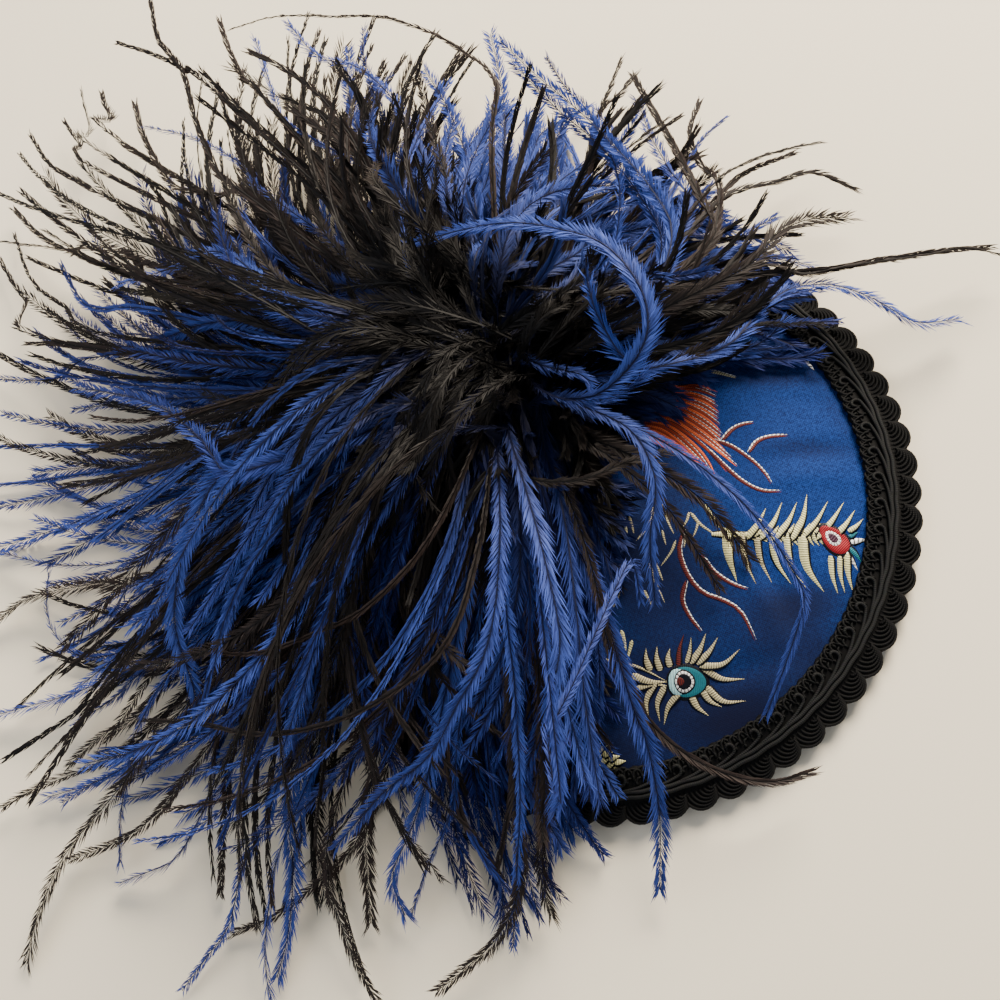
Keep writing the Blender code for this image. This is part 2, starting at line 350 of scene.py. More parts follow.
def base_rings():
    """Rings of the covered base, from the middle of the top out, over the rim and back under
    to the middle: each is a circle in plan at a height. Arcs round the rim and its foot."""
    under_radius = math.sqrt((DOME_RADIUS - BASE_WALL) ** 2 - DOME_CENTRE**2)
    top = np.linspace(0, 1, TOP_RINGS + 1)[1:] * (BASE_RADIUS - RIM_ROUND)
    turn = np.radians(np.linspace(15, 90, 6))
    outer = BASE_RADIUS - RIM_ROUND + RIM_ROUND * np.sin(turn)
    outer_height = EDGE_HEIGHT - RIM_ROUND + RIM_ROUND * np.cos(turn)
    foot = np.radians(np.linspace(0, 90, 5))
    low = BASE_RADIUS - FOOT_ROUND + FOOT_ROUND * np.cos(foot)
    low_height = FOOT_ROUND - FOOT_ROUND * np.sin(foot)
    under = np.linspace(under_radius, 1.5 * MM, UNDER_RINGS)
    under_height = DOME_CENTRE + np.sqrt((DOME_RADIUS - BASE_WALL) ** 2 - under**2)
    radius = np.concatenate([top, outer, low, under])
    height = np.concatenate([dome_height(top), outer_height, low_height, under_height])
    # below: share of painted shade under the base, part of it at the rim's foot and all of it underneath
    below = np.repeat([0.0, 0.3, 1.0], [len(top) + len(outer), len(low), len(under)])
    return radius, height, below, len(top)


# Painted shade on the satin, where it is creased and where the flues shade it: middle pixel, half length
# and half width in pixels, heading in degrees below the right, share of the painted shade
PAINTED_SHADE_PATCHES = (
    ((760, 374), 75, 12, 2, 0.60),
    ((805, 448), 46, 10, 2, 0.50),
    ((795, 606), 56, 26, -8, 0.85),
    ((700, 600), 60, 60, 30, 0.50),
    ((735, 722), 80, 36, -14, 0.95),
    ((760, 690), 50, 30, -30, 0.60),
    ((650, 690), 80, 60, 0, 0.85),
    ((820, 660), 40, 40, -50, 0.75),
    ((640, 560), 60, 80, 0, 0.85),
    ((660, 475), 44, 34, 40, 0.50),
    ((600, 760), 80, 40, 0, 0.90),
    ((772, 640), 42, 24, -10, 0.60),
    ((850, 420), 46, 16, 55, 0.30),
)


def crease_shade(x, y):
    """Share of painted shade on the satin at points in plan: one less the product of what each bell
    shaped patch leaves."""
    left = np.ones_like(x)
    for pixel, half_length, half_width, heading, share in PAINTED_SHADE_PATCHES:
        ahead, square = in_plan(heading, 1.0), in_plan(heading + 90, 1.0)
        corners = [pixel, pixel + half_length * ahead, pixel + half_width * square]
        middle, end, aside = photo_on_cloth(np.array(corners))
        inverse = np.linalg.inv(np.column_stack([end - middle, aside - middle]))
        u = inverse[0, 0] * (x - middle[0]) + inverse[0, 1] * (y - middle[1])
        v = inverse[1, 0] * (x - middle[0]) + inverse[1, 1] * (y - middle[1])
        left *= 1 - share * np.exp(-((u**2 + v**2) ** 1.3))
    return 1 - left


def build_brocade(material):
    """The dome's skin: each ring of the profile turned about the middle, the top ones let down
    by the folds, and both middles closed by a point."""
    radius, height, below, top_count = base_rings()
    turn = np.arange(ROUND_COLUMNS) * math.tau / ROUND_COLUMNS
    x = radius[:, None] * np.cos(turn)
    y = radius[:, None] * np.sin(turn)
    z = np.broadcast_to(height[:, None], x.shape).copy()
    z[:top_count] -= fold_depth(x[:top_count], y[:top_count])
    rings = np.stack([x, y, z], axis=-1)
    # Painted shade of the creases and of the flues' shadows, on the top only
    crease = np.where(z > EDGE_HEIGHT, crease_shade(x, y), 0.0)
    pile = Pile("below", "crease")
    below_points = np.repeat(below, ROUND_COLUMNS)
    pile.add(rings, rows_of(rings, True)[:, ::-1], below=below_points, crease=crease.ravel())
    last = (len(radius) - 1) * ROUND_COLUMNS
    around = np.arange(ROUND_COLUMNS)
    after = np.roll(around, -1)
    middle = len(radius) * ROUND_COLUMNS
    ends = [[0, 0, float(cloth_height(np.zeros(1), np.zeros(1))[0])], [0, 0, float(height[-1])]]
    top_fan = np.stack([around, after, np.full_like(around, middle)], axis=1)
    low_fan = np.stack([after + last, around + last, np.full_like(around, middle + 1)], axis=1)
    pile.add(ends, np.concatenate([top_fan, low_fan]) - middle, below=[0.0, 1.0], crease=0.0)
    return pile.make("brocade_cover", material, "brocade", ["brocade_base"])


def brocade_material(settings):
    """Polyester satin brocade, jacquard woven: a deep blue ground whose floats catch the light in specks.
    Painted shade darkens it underneath, at the rim's foot, in creases and where the flues shade it. The
    weave is drawn 0.45 mm wide, about twice its real size, because a finer one is lost at this distance."""
    material, tree, shader = new_material(
        "satin_brocade_woven", {"Roughness": 0.7, "IOR": 1.5, "Specular IOR Level": 0.09}
    )
    lit_blue, shaded_blue = (*settings.lit, 1), (*settings.shade, 1)
    place = add_node(tree, "TexCoord", output="Object")
    turned = add_node(tree, "Mapping", {"Vector": place, "Rotation": (0, 0, math.radians(22))})
    speck = add_node(
        tree, "TexNoise",
        {"Vector": place, "Scale": 1 / (0.55 * MM), "Detail": 2.0, "Roughness": 0.6},
    )
    warp, weft = (
        add_node(
            tree, "TexWave",
            {"Vector": turned, "Scale": math.tau / (20 * settings.weave), "Distortion": 0.6,
             "Detail": 1.0, "Detail Scale": 3.0},
            "Fac", wave_type="BANDS", bands_direction=way,
        )
        for way in ("X", "Y")
    )
    floats = add_node(tree, "Math", {0: warp, 1: weft}, operation="MULTIPLY")
    light = add_node(tree, "Math", {0: floats, 1: 0.35, 2: speck}, operation="MULTIPLY_ADD")
    satin = add_node(
        tree, "ValToRGB", {"Fac": light}, stops=((0.38, shaded_blue), (0.82, lit_blue))
    )
    cloud = add_node(tree, "TexNoise", {"Vector": place, "Scale": 1 / (22 * MM), "Detail": 2.0})
    cloudy = add_node(
        tree, "MapRange",
        {"Value": cloud, "From Min": 0.45, "From Max": 0.75, "To Min": 0.0, "To Max": 0.25},
    )
    colour = satin
    crease = add_node(tree, "Attribute", output="Fac", attribute_name="crease")
    below = add_node(tree, "Attribute", output="Fac", attribute_name="below")
    # The dye's random clouding, then painted shade in creases and flue shadows, then painted shade under
    # the base
    for factor, other in (
        (cloudy, shaded_blue), (crease, linear("#10132c")), (below, linear("#0d1226"))
    ):
        colour = add_node(
            tree, "Mix", {0: factor, MIX_A: colour, MIX_B: other}, MIX_OUT, data_type="RGBA"
        )
    tree.links.new(colour, shader.inputs["Base Color"])
    bump = add_node(tree, "Bump", {"Height": light, "Strength": 0.35, "Distance": 0.10 * MM})
    tree.links.new(bump, shader.inputs["Normal"])
    return material


# Raised metallic feathers woven into the brocade. Pixels are in the photograph's frame.

THREAD_COLOURS = (
    ("gold", "#beb58f"),
    ("pale_gold", "#d6d29c"),
    ("orange", "#e86a3c"),
    ("brick", "#a03c22"),
    ("russet", "#642620"),
    ("silver", "#f4f5f4"),
    ("red", "#86141f"),
    ("turquoise", "#23707f"),
    ("sky", "#b4e4ea"),
    ("plum", "#3a1c30"),
    ("dark", "#0c0e18"),
)
THREAD_NAMES = [name for name, _ in THREAD_COLOURS]

# Barbs of the red-eyed feather: thread, half width in mm, root pixel, tip pixel, bend in pixels
RED_EYE_BARBS = (
    ("pale_gold", 0.74, (748, 535), (766, 508), 2),
    ("pale_gold", 0.70, (762, 535), (782, 502), 3),
    ("pale_gold", 0.74, (776, 535), (797, 502), 3),
    ("pale_gold", 0.84, (792, 535), (807, 494), 4),
    ("pale_gold", 0.70, (802, 535), (828, 501), 3),
    ("pale_gold", 0.74, (818, 535), (844, 502), 2),
    ("pale_gold", 0.74, (834, 535), (855, 510), 2),
    ("pale_gold", 0.56, (850, 530), (863, 519), 1),
    ("pale_gold", 1.15, (727, 534), (737, 582), 3),
    ("gold", 0.66, (743, 538), (756, 584), 4),
    ("gold", 0.66, (758, 540), (772, 583), 4),
    ("pale_gold", 0.70, (773, 540), (791, 584), 5),
    ("pale_gold", 0.74, (788, 540), (806, 588), 6),
    ("pale_gold", 1.10, (804, 542), (824, 592), 7),
    ("pale_gold", 0.66, (831, 560), (838, 594), 2),
    ("pale_gold", 0.60, (840, 560), (845, 593), 2),
    ("pale_gold", 0.74, (847, 557), (853, 592), 2),
    ("turquoise", 0.56, (850, 536), (858, 532), 0),
    ("silver", 0.66, (853, 542), (869, 540), -1),
    ("turquoise", 0.60, (850, 550), (862, 563), -1),
    ("silver", 0.56, (846, 554), (858, 571), -1),
)
RED_EYE_SPINE = ("pale_gold", 0.60, (724, 534), (826, 533), 1)

# Short barbs that fill the same feather beside its spine: first and last pixel across, step,
# the spine's pixel down, and the tip's place from the root in pixels, above and below
SHORT_BARBS = (750, 818, 5.2, 534, (8, -11), (7, 12))

# Barbs of the turquoise-eyed feather, in the same columns
BLUE_EYE_BARBS = (
    ("gold", 0.68, (650, 668), (646, 648), -2),
    ("gold", 0.66, (660, 668), (657, 646), -2),
    ("gold", 0.66, (670, 665), (670, 648), -2),
    ("russet", 0.48, (679, 663), (684, 634), -2),
    ("gold", 0.48, (687, 660), (691, 637), 1),
    ("gold", 0.68, (692, 660), (706, 633), 2),
    ("gold", 0.68, (699, 661), (718, 637), 2),
    ("gold", 0.72, (704, 664), (740, 649), 7),
    ("gold", 0.72, (706, 668), (745, 679), 6),
    ("gold", 0.68, (710, 688), (746, 701), 8),
    ("gold", 0.66, (704, 692), (722, 707), 3),
    ("gold", 0.72, (692, 696), (709, 716), 3),
    ("gold", 0.72, (678, 695), (664, 725), 4),
    ("gold", 0.66, (664, 690), (660, 722), 5),
    ("gold", 0.66, (655, 686), (649, 721), 6),
    ("gold", 0.80, (636, 676), (668, 682), 3),
    ("gold", 0.66, (640, 688), (668, 686), -3),
)
EYE_SPINE = ("gold", 0.36, (612, 662), (668, 682), -4)

# Eyes: middle pixel, pixel at the far end, half width in mm, how much wider the far end is,
# and zones from the rim inwards: thread, shares of the length and of the width, and the shift
# towards the far end as a share of the half length
EYES = (
    ((834, 539.5), (849, 553.3), 2.8, 0.24, (
        ("dark", 1.08, 1.10, 0.0),
        ("red", 1.00, 1.00, 0.0),
        ("silver", 0.52, 0.60, -0.08),
        ("plum", 0.34, 0.36, -0.08),
    )),
    ((687.8, 682.2), (708.6, 682.4), 3.75, -0.14, (
        ("dark", 1.08, 1.10, 0.0),
        ("turquoise", 1.00, 1.00, 0.0),
        ("sky", 0.62, 0.84, -0.33),
        ("dark", 0.59, 0.79, -0.15),
        ("silver", 0.52, 0.70, -0.15),
        ("dark", 0.40, 0.54, -0.15),
        ("russet", 0.20, 0.28, -0.34),
    )),
)

# Strands of the orange fan, as pixels from root to tip. One more lies midway between each two.
FAN = (
    ((653, 396), (672, 388), (690, 388), (705, 393)),
    ((652, 400), (678, 388), (700, 386), (717, 392)),
    ((650, 402), (676, 393), (698, 395), (716, 403)),
    ((650, 405), (680, 398), (702, 401), (719, 412)),
    ((649, 408), (676, 402), (700, 408), (718, 419)),
    ((648, 411), (680, 407), (704, 417), (721, 431)),
    ((647, 413), (674, 411), (700, 423), (722, 439)),
    ((646, 416), (674, 416), (702, 431), (726, 451)),
    ((645, 418), (672, 420), (698, 436), (724, 456), (737, 467)),
    ((643, 422), (668, 426), (690, 441), (706, 458), (716, 477)),
    ((642, 425), (664, 431), (686, 448), (702, 464)),
    ((641, 428), (662, 435), (684, 450), (700, 465)),
    ((640, 431), (658, 439), (676, 450), (692, 459)),
    ((639, 434), (655, 442), (671, 450), (684, 457)),
)
FAN_THREADS = (("orange", "silver"), ("brick", "silver"), ("orange", None), ("brick", "silver"))

# Long threads: thread, thread of the dashed edge on their upper side or none, half width in
# mm, and pixels along them
TENDRILS = (
    ("russet", "silver", 0.48, (713, 440), (732, 447), (752, 461), (764, 473), (771, 484)),
    ("russet", "silver", 0.52, (706, 448), (724, 466), (743, 482), (762, 491), (782, 492)),
    ("russet", "silver", 0.52, (722, 441), (732, 430), (742, 425), (754, 423)),
    ("russet", "silver", 0.50, (749, 453), (757, 442), (770, 437), (788, 436)),
    ("gold", "silver", 0.48, (709, 371), (722, 374), (736, 378)),
    ("gold", None, 0.40, (688, 366), (696, 363), (704, 366)),
    ("silver", None, 0.60, (802, 360), (808, 364), (814, 370)),
    ("gold", None, 0.76, (607, 404), (618, 398), (632, 400), (644, 404)),
    ("gold", None, 0.48, (612, 411), (624, 405), (638, 408), (648, 414)),
    ("russet", "silver", 0.54,
     (684, 528), (679, 551), (688, 576), (703, 593), (724, 601), (741, 613), (755, 641)),
    ("russet", "silver", 0.52, (686, 580), (682, 599), (689, 616), (701, 632)),
    ("russet", "silver", 0.52, (701, 555), (714, 572), (732, 584), (748, 590)),
    ("gold", None, 0.36, (598, 561), (601, 583), (607, 601), (614, 606), (621, 590)),
    ("gold", None, 0.36, (649, 563), (656, 584), (665, 603)),
    ("gold", None, 0.34, (644, 590), (649, 600), (653, 607)),
    ("gold", None, 0.36, (598, 541), (602, 555), (607, 568)),
    ("gold", None, 0.32, (594, 556), (597, 572), (600, 588), (606, 600)),
    ("gold", None, 0.30, (596, 486), (598, 494), (602, 504)),
    ("gold", None, 0.32, (604, 500), (608, 508), (613, 514)),
    ("gold", None, 0.34, (614, 518), (617, 528), (619, 540)),
    ("pale_gold", None, 0.42, (622, 510), (625, 524), (628, 540)),
    ("gold", None, 0.36, (629, 516), (632, 526), (634, 534)),
    ("gold", None, 0.44, (653, 507), (650, 523), (643, 533), (636, 541)),
    ("gold", None, 0.34, (660, 500), (668, 522), (674, 534)),
    ("gold", None, 0.30, (662, 530), (664, 538), (666, 545)),
    ("gold", None, 0.34, (676, 540), (671, 552), (661, 566)),
    ("gold", None, 0.36, (689, 512), (687, 520), (683, 527)),
    ("gold", None, 0.30, (687, 531), (685, 540), (684, 548)),
    ("gold", None, 0.30, (698, 522), (696, 530), (693, 537)),
    ("gold", None, 0.32, (655, 561), (659, 571), (663, 581)),
    ("pale_gold", None, 0.60, (702, 503), (710, 514), (718, 525), (728, 531)),
    ("gold", None, 0.42, (690, 512), (700, 524), (714, 534)),
    ("pale_gold", None, 0.55, (612, 637), (616, 641), (620, 647), (625, 658)),
    ("pale_gold", None, 0.50, (621, 630), (624, 640), (626, 651)),
    ("pale_gold", None, 0.48, (632, 640), (630, 649), (627, 660)),
    ("silver", None, 0.36, (614, 659), (622, 672), (632, 684), (642, 709)),
    ("dark", None, 0.28, (590, 742), (602, 752), (620, 768)),
)

# Barbs of the leaf at the near edge, in the columns of the feathers' barbs
LEAF_BARBS = (
    ("pale_gold", 0.55, (594, 746), (601, 743), 0),
    ("pale_gold", 0.75, (598, 750), (607, 746), 0),
    ("pale_gold", 0.85, (604, 754), (614, 751), 0),
    ("pale_gold", 0.80, (610, 758), (620, 756), 0),
    ("pale_gold", 0.75, (616, 762), (626, 761), 0),
    ("pale_gold", 0.45, (591, 746), (583, 748), 0),
    ("pale_gold", 0.80, (595, 750), (589, 757), 0),
    ("pale_gold", 0.75, (599, 754), (594, 763), 0),
    ("pale_gold", 0.85, (605, 758), (599, 767), 0),
    ("pale_gold", 0.80, (611, 762), (607, 771), 0),
    ("pale_gold", 0.60, (616, 766), (616, 774), 0),
)

# Stitch length in mm and depth of the dark between stitches, by thread
STITCHES = {
    "gold": (0.56, 0.85),
    "pale_gold": (0.56, 0.70),
    "orange": (0.50, 0.50),
    "brick": (0.50, 0.45),
    "russet": (0.50, 0.80),
    "silver": (1.00, 0.95),
    "red": (0.42, 0.30),
    "turquoise": (0.42, 0.35),
    "sky": (0.60, 0.45),
    "plum": (0.60, 0.30),
    "dark": (0.50, 0.0),
}
THREAD_SIDES = 8


def thread_value(thread):
    """The middle of the thread's step on the colour ramp."""
    return (THREAD_NAMES.index(thread) + 0.5) / len(THREAD_NAMES)


def raised_thread(pile, thread, half_width, pixels, leaf, aside=0.0, flat_share=0.22):
    """One woven thread: a flat oval tube on the cloth through the pixels, moved aside in plan
    by a distance in mm. A leaf is rounded at its root, widest near it and narrows to its tip,
    and a cord narrows evenly and closes at both ends."""
    route = smooth_route([(*p, 0) for p in pixels], 16 if len(pixels) > 3 else 12)
    flat = photo_on_cloth(route[:, :2])
    ahead = unit(np.gradient(flat, axis=0))
    flat = flat + aside * MM * np.stack([-ahead[:, 1], ahead[:, 0]], axis=1)
    share = np.linspace(0, 1, len(flat))
    if leaf:
        swell = np.clip((1 - share) * 1.6, 0, 1) ** 0.8 * (1.25 - 0.35 * share)
        swell *= np.clip(0.35 + 8 * share, 0, 1) ** 0.5
    else:
        swell = np.clip(np.minimum(share, 1 - share) * 6, 0, 1) ** 0.5 * (1.15 - 0.70 * share)
    path = np.column_stack([flat, cloth_height(flat[:, 0], flat[:, 1]) + 0.03 * MM])
    radius = half_width * MM * np.maximum(swell, 0.02)
    steps = np.linalg.norm(np.diff(path, axis=0), axis=1)
    stitch, depth = STITCHES[thread]
    stitches = np.concatenate([[0], np.cumsum(steps)]) / (stitch * MM)
    grid = tubes(path[None], radius[None], THREAD_SIDES, UPWARDS, flatten=flat_share)
    pile.add_grids(
        grid, True,
        thread=thread_value(thread),
        stitches=np.repeat(stitches, THREAD_SIDES),
        across=np.tile(np.cos(np.arange(THREAD_SIDES) * math.tau / THREAD_SIDES), len(path)),
        depth=depth,
    )


def outlined_leaf(pile, thread, half_width, pixels):
    """A leaf with the dark ground thread showing along its edges, 0.27 mm wide."""
    raised_thread(pile, "dark", half_width + 0.27, pixels, True, flat_share=0.07)
    raised_thread(pile, thread, half_width, pixels, True)


def bent_pixels(root, tip, bend):
    """A root tucked a little under what it grows from, a middle moved sideways by the bend,
    and a tip."""
    root, tip = np.array(root, float), np.array(tip, float)
    root += 0.12 * (root - tip)
    ahead = tip - root
    sideways = np.array([-ahead[1], ahead[0]]) / np.linalg.norm(ahead)
    return [root, (root + tip) / 2 + sideways * bend, tip]


def raised_eye(pile, middle, end, half_width, egg, zones):
    """An eye: flat domes over one another, each an oval whose width grows with the cosine of
    the way to its far end. The stitches of a ring of silver run round it."""
    centre, point = photo_on_cloth(np.array([middle, end], float))
    ahead = unit(point - centre)
    side = np.array([-ahead[1], ahead[0]])
    half_length = np.linalg.norm(point - centre)
    turn = np.arange(44) * math.tau / 44
    reach = np.linspace(1, 0.02, 7)[:, None]
    for layer, (thread, long, wide, shift) in enumerate(zones):
        along = (reach * long * np.cos(turn) + shift) * half_length
        across = reach * wide * np.sin(turn) * (1 + egg * np.cos(turn)) * half_width * MM
        x = centre[0] + ahead[0] * along + side[0] * across
        y = centre[1] + ahead[1] * along + side[1] * across
        dome = 1 - reach**10 + 0 * turn
        z = cloth_height(x, y) + (0.08 * layer + 0.30 * dome - 0.02) * MM
        stitch, depth = STITCHES[thread]
        run = np.abs(turn - math.pi) * long * half_length if thread == "silver" else along
        pile.add_grids(
            np.stack([x, y, z], axis=-1)[None], True,
            thread=thread_value(thread),
            stitches=(run / (stitch * MM) + 0 * reach).ravel(),
            across=0.0 if thread == "silver" else (reach * np.sin(turn)).ravel(),
            depth=depth,
        )


def build_threads(material):
    """Every raised thread of the brocade, as one mesh."""
    pile = Pile("thread", "stitches", "across", "depth")
    barbs = (*RED_EYE_BARBS, RED_EYE_SPINE, *BLUE_EYE_BARBS, EYE_SPINE, *LEAF_BARBS)
    for thread, width, root, tip, bend in barbs:
        outlined_leaf(pile, thread, width, bent_pixels(root, tip, bend))
    for thread, edge, width, *pixels in TENDRILS:
        raised_thread(pile, thread, width, pixels, False)
        if edge:
            raised_thread(pile, edge, 0.24, pixels, False, aside=width * 0.85)
    named = [smooth_route([(*p, 0) for p in strand], 8)[:, :2] for strand in FAN]
    between = [(first + second) / 2 for first, second in zip(named, named[1:])]
    strands = [named[0], *(strand for pair in zip(between, named[1:]) for strand in pair)]
    for index, strand in enumerate(strands):
        thread, edge = FAN_THREADS[index % len(FAN_THREADS)]
        raised_thread(pile, "dark", 0.66, strand, False, flat_share=0.08)
        raised_thread(pile, thread, 0.54, strand, False, flat_share=0.18)
        if edge:
            raised_thread(pile, edge, 0.20, strand, False, aside=0.42)
    first, last, step, spine, above, below = SHORT_BARBS
    for x in np.arange(first, last, step):
        growth = 0.55 + 0.45 * min((x - first) / 40, 1)
        for across, down in (above, below):
            tip = (x + across, spine + down * growth)
            outlined_leaf(pile, "pale_gold", 0.52, bent_pixels((x, spine), tip, 1))
    for eye in EYES:
        raised_eye(pile, *eye)
    return pile.make("metallic_threads", material, "brocade", ["brocade_base"])


def thread_material():
    """Metallised polyester thread, woven as floats: a quarter metal, the rest dye, crossed by
    dark binding stitches that slant across it and are unevenly deep."""
    material, tree, shader = new_material(
        "metallised_thread_woven", {"Roughness": 0.45, "Metallic": 0.25, "Specular IOR Level": 0.2}
    )
    kind, stitches, across, depth = (
        add_node(tree, "Attribute", output="Fac", attribute_name=name)
        for name in ("thread", "stitches", "across", "depth")
    )
    steps = [index / len(THREAD_COLOURS) for index in range(len(THREAD_COLOURS))]
    dye = add_node(
        tree, "ValToRGB", {"Fac": kind},
        stops=[(step, linear(colour)) for step, (_, colour) in zip(steps, THREAD_COLOURS)],
    )
    dye.node.color_ramp.interpolation = "CONSTANT"
    slant = add_node(tree, "Math", {0: across, 1: 0.25, 2: stitches}, operation="MULTIPLY_ADD")
    phase = add_node(tree, "Math", {0: slant, 1: math.tau}, operation="MULTIPLY")
    wave = add_node(tree, "Math", {0: phase}, operation="SINE")
    bound = add_node(
        tree, "MapRange", {"Value": wave, "From Min": -0.9, "From Max": 0.2, "To Min": 1.0, "To Max": 0.0}
    )
    place = add_node(tree, "TexCoord", output="Object")
    uneven = add_node(tree, "TexNoise", {"Vector": place, "Scale": 1 / (0.7 * MM), "Detail": 1.0})
    patchy = add_node(
        tree, "MapRange",
        {"Value": uneven, "From Min": 0.35, "From Max": 0.65, "To Min": 0.7, "To Max": 1.1},
    )
    deep = add_node(tree, "Math", {0: bound, 1: depth}, operation="MULTIPLY")
    dark = add_node(tree, "Math", {0: deep, 1: patchy}, operation="MULTIPLY", use_clamp=True)
    colour = add_node(
        tree, "Mix", {0: dark, MIX_A: dye, MIX_B: linear("#141320")}, MIX_OUT, data_type="RGBA"
    )
    tree.links.new(colour, shader.inputs["Base Color"])
    bump = add_node(tree, "Bump", {"Height": wave, "Strength": 0.4, "Distance": 0.05 * MM})
    tree.links.new(bump, shader.inputs["Normal"])
    return material


# Scroll gimp braid

PITCH_TURN = math.tau / SCALLOPS
PITCH = BRAID_RADIUS * PITCH_TURN

# The ground's section: share of the way from its outer to its inner edge, and lift in mm
GROUND_SECTION = (
    (0.0, 0.05), (0.0, 0.55), (0.10, 1.05), (0.35, 1.15), (0.65, 1.15),
    (0.9, 0.95), (1.0, 0.5), (1.0, 0.0), (0.6, -0.05), (0.3, -0.05),
)
GROUND_STEPS = 8

# Cords of a fan, which lie round one another on its outer edge, and their radius
FAN_CORDS = 7
FAN_CORD_RADIUS = 0.38 * MM

# Stems that run all round: place inward from the outer edge, and steps in a pitch
STEMS = (5.05 * MM, 6.15 * MM)
STEM_LIFT = 1.95 * MM
STEM_STEPS = 6

# A frond curls from its hook, at this place in pitches and inward, out along the stems
HOOK_ALONG, HOOK_INWARD = 0.30, 9.0 * MM
FROND_RADIUS = 0.40 * MM

# Looped cords of the inner edge: place inward, reach of a loop and lift in mm, and phase in
# turns, with three loops in a pitch
INNER_LOOPS = (
    (9.9, 1.35, 1.35, 0.0),
    (10.6, 0.95, 1.05, 0.5),
    (8.6, 0.8, 1.15, 0.25),
)
LOOPS_PER_PITCH = 3
LOOP_STEPS = 21
LOOP_RADIUS = 0.31 * MM


def on_braid(along, inward, lift):
    """Points of the braid: along it in pitches, inward from its outer edge and lift off the
    dome in metres. The pitches run clockwise seen from above."""
    radius = BRAID_RADIUS - inward
    turn = -along * PITCH_TURN
    height = dome_height(radius, BRAID_SEAT + lift)
    return np.stack([radius * np.cos(turn), radius * np.sin(turn), height], axis=-1)


def repeat_cords(pile, along, inward, lift, radius, sides, shade):
    """A cord drawn in one pitch and carried to every pitch, as tubes with narrowed ends."""
    starts = np.arange(SCALLOPS)[:, None]
    paths = on_braid(along + starts, inward + 0 * starts, lift + 0 * starts)
    grid = tubes(paths, np.broadcast_to(radius, paths.shape[:2]), sides, UPWARDS)
    steps = np.linalg.norm(np.diff(paths, axis=1), axis=-1)
    run = np.concatenate([np.zeros((len(paths), 1)), np.cumsum(steps, axis=1)], axis=1)
    around = np.tile(np.arange(sides) / sides, run.size)
    pile.add_grids(grid, True, along=np.repeat(run.ravel(), sides), around=around, shade=shade)


def round_cord(pile, along, paths, radius, sides, shade):
    """A cord that runs all round the braid, closed on itself."""
    grid = tubes(paths[None], np.full((1, len(paths)), radius), sides, UPWARDS, closed=True)
    pile.add_grids(
        grid, True, rows_closed=True,
        along=np.repeat(along * PITCH, sides),
        around=np.tile(np.arange(sides) / sides, len(along)),
        shade=shade,
    )


def build_braid(material, settings):
    """The braid: a flat ground, fans of cords overlapping along its outer edge, two stems, a
    frond curling out of the stems in every pitch, and looped cords along its inner edge. A fan
    cord is an arc, the stems sway by a sine a pitch long, and a loop is a circle carried on."""
    # Shade values paint light and shade: 1 is the painted light of the stems on top, 0 the painted shade
    # of the ground, and the other cords lie between
    pile = Pile("along", "around", "shade")
    along = np.arange(SCALLOPS * GROUND_STEPS) / GROUND_STEPS
    outer = 0.9 * MM - 1.5 * MM * np.abs(np.sin(math.pi * (along - 0.26))) ** 0.8
    inner = 11.3 * MM + 0.7 * MM * np.abs(np.sin(2 * math.pi * along))
    edges = [
        on_braid(along, outer + (inner - outer) * share, np.full_like(along, lift * MM))
        for share, lift in GROUND_SECTION
    ]
    ground = np.stack(edges, axis=1)
    pile.add_grids(ground[None], True, rows_closed=True, along=0.0, around=0.0, shade=0.0)

    fan = np.linspace(0, 1, 13)
    for cord in range(FAN_CORDS):
        reach = (1.0 + 0.60 * cord) * MM
        swing = np.radians(-62 + (150 + 4 * cord) * fan)
        fan_along = 0.34 + 0.07 * cord + reach * np.sin(swing) / PITCH * 0.94
        fan_in = 4.05 * MM - reach * np.cos(swing) * 1.02
        lift = (1.75 - 0.62 * fan - 0.05 * cord + 0.35 * np.sin(math.pi * fan)) * MM
        radius = FAN_CORD_RADIUS * np.clip(np.minimum(fan, 1 - fan) * 8, 0.05, 1) ** 0.5
        repeat_cords(pile, fan_along, fan_in, lift, radius, 4, 0.12 + 0.03 * cord)

    along = np.arange(SCALLOPS * STEM_STEPS) / STEM_STEPS
    sway = 0.12 * MM * np.sin(math.tau * along + 0.6)
    for inward in STEMS:
        paths = on_braid(along, inward + sway, np.full_like(along, STEM_LIFT))
        round_cord(pile, along, paths, settings.stem_radius, 8, 1.0)

    frond = np.linspace(0, 1, 26)
    curl = np.clip(frond / 0.55, 0, 1)
    turn = math.radians(250) * (1 - curl)
    radius = (0.75 + 0.65 * curl) * MM
    hook_along = HOOK_ALONG + radius * np.sin(-turn) / PITCH
    hook_in = HOOK_INWARD - radius * np.cos(turn)
    run = np.clip((frond - 0.55) / 0.45, 0, 1)
    frond_along = np.where(frond < 0.55, hook_along, HOOK_ALONG + 1.05 * run)
    stem_in = (7.6 - 1.15 * run - 0.25 * np.sin(math.pi * run)) * MM
    frond_in = np.where(frond < 0.55, hook_in, stem_in)
    radius = FROND_RADIUS * np.clip(np.minimum(frond, 1 - frond) * 10, 0.05, 1) ** 0.5
    repeat_cords(pile, frond_along, frond_in, (1.75 + 0.35 * run) * MM, radius, 6, 0.85)

    along = np.arange(SCALLOPS * LOOP_STEPS) / LOOP_STEPS
    for inward, reach, lift, phase in INNER_LOOPS:
        spin = math.tau * (LOOPS_PER_PITCH * along + phase)
        loop_in = inward + reach * np.cos(spin) + 0.25 * np.sin(math.tau * along)
        loop_lift = lift + 0.28 * np.sin(2 * spin)
        paths = on_braid(along + 0.085 * np.sin(spin), loop_in * MM, loop_lift * MM)
        round_cord(pile, along, paths, LOOP_RADIUS, 4, 0.45)
    return pile.make("scroll_gimp", material, "gimp", ["gimp_braid"])


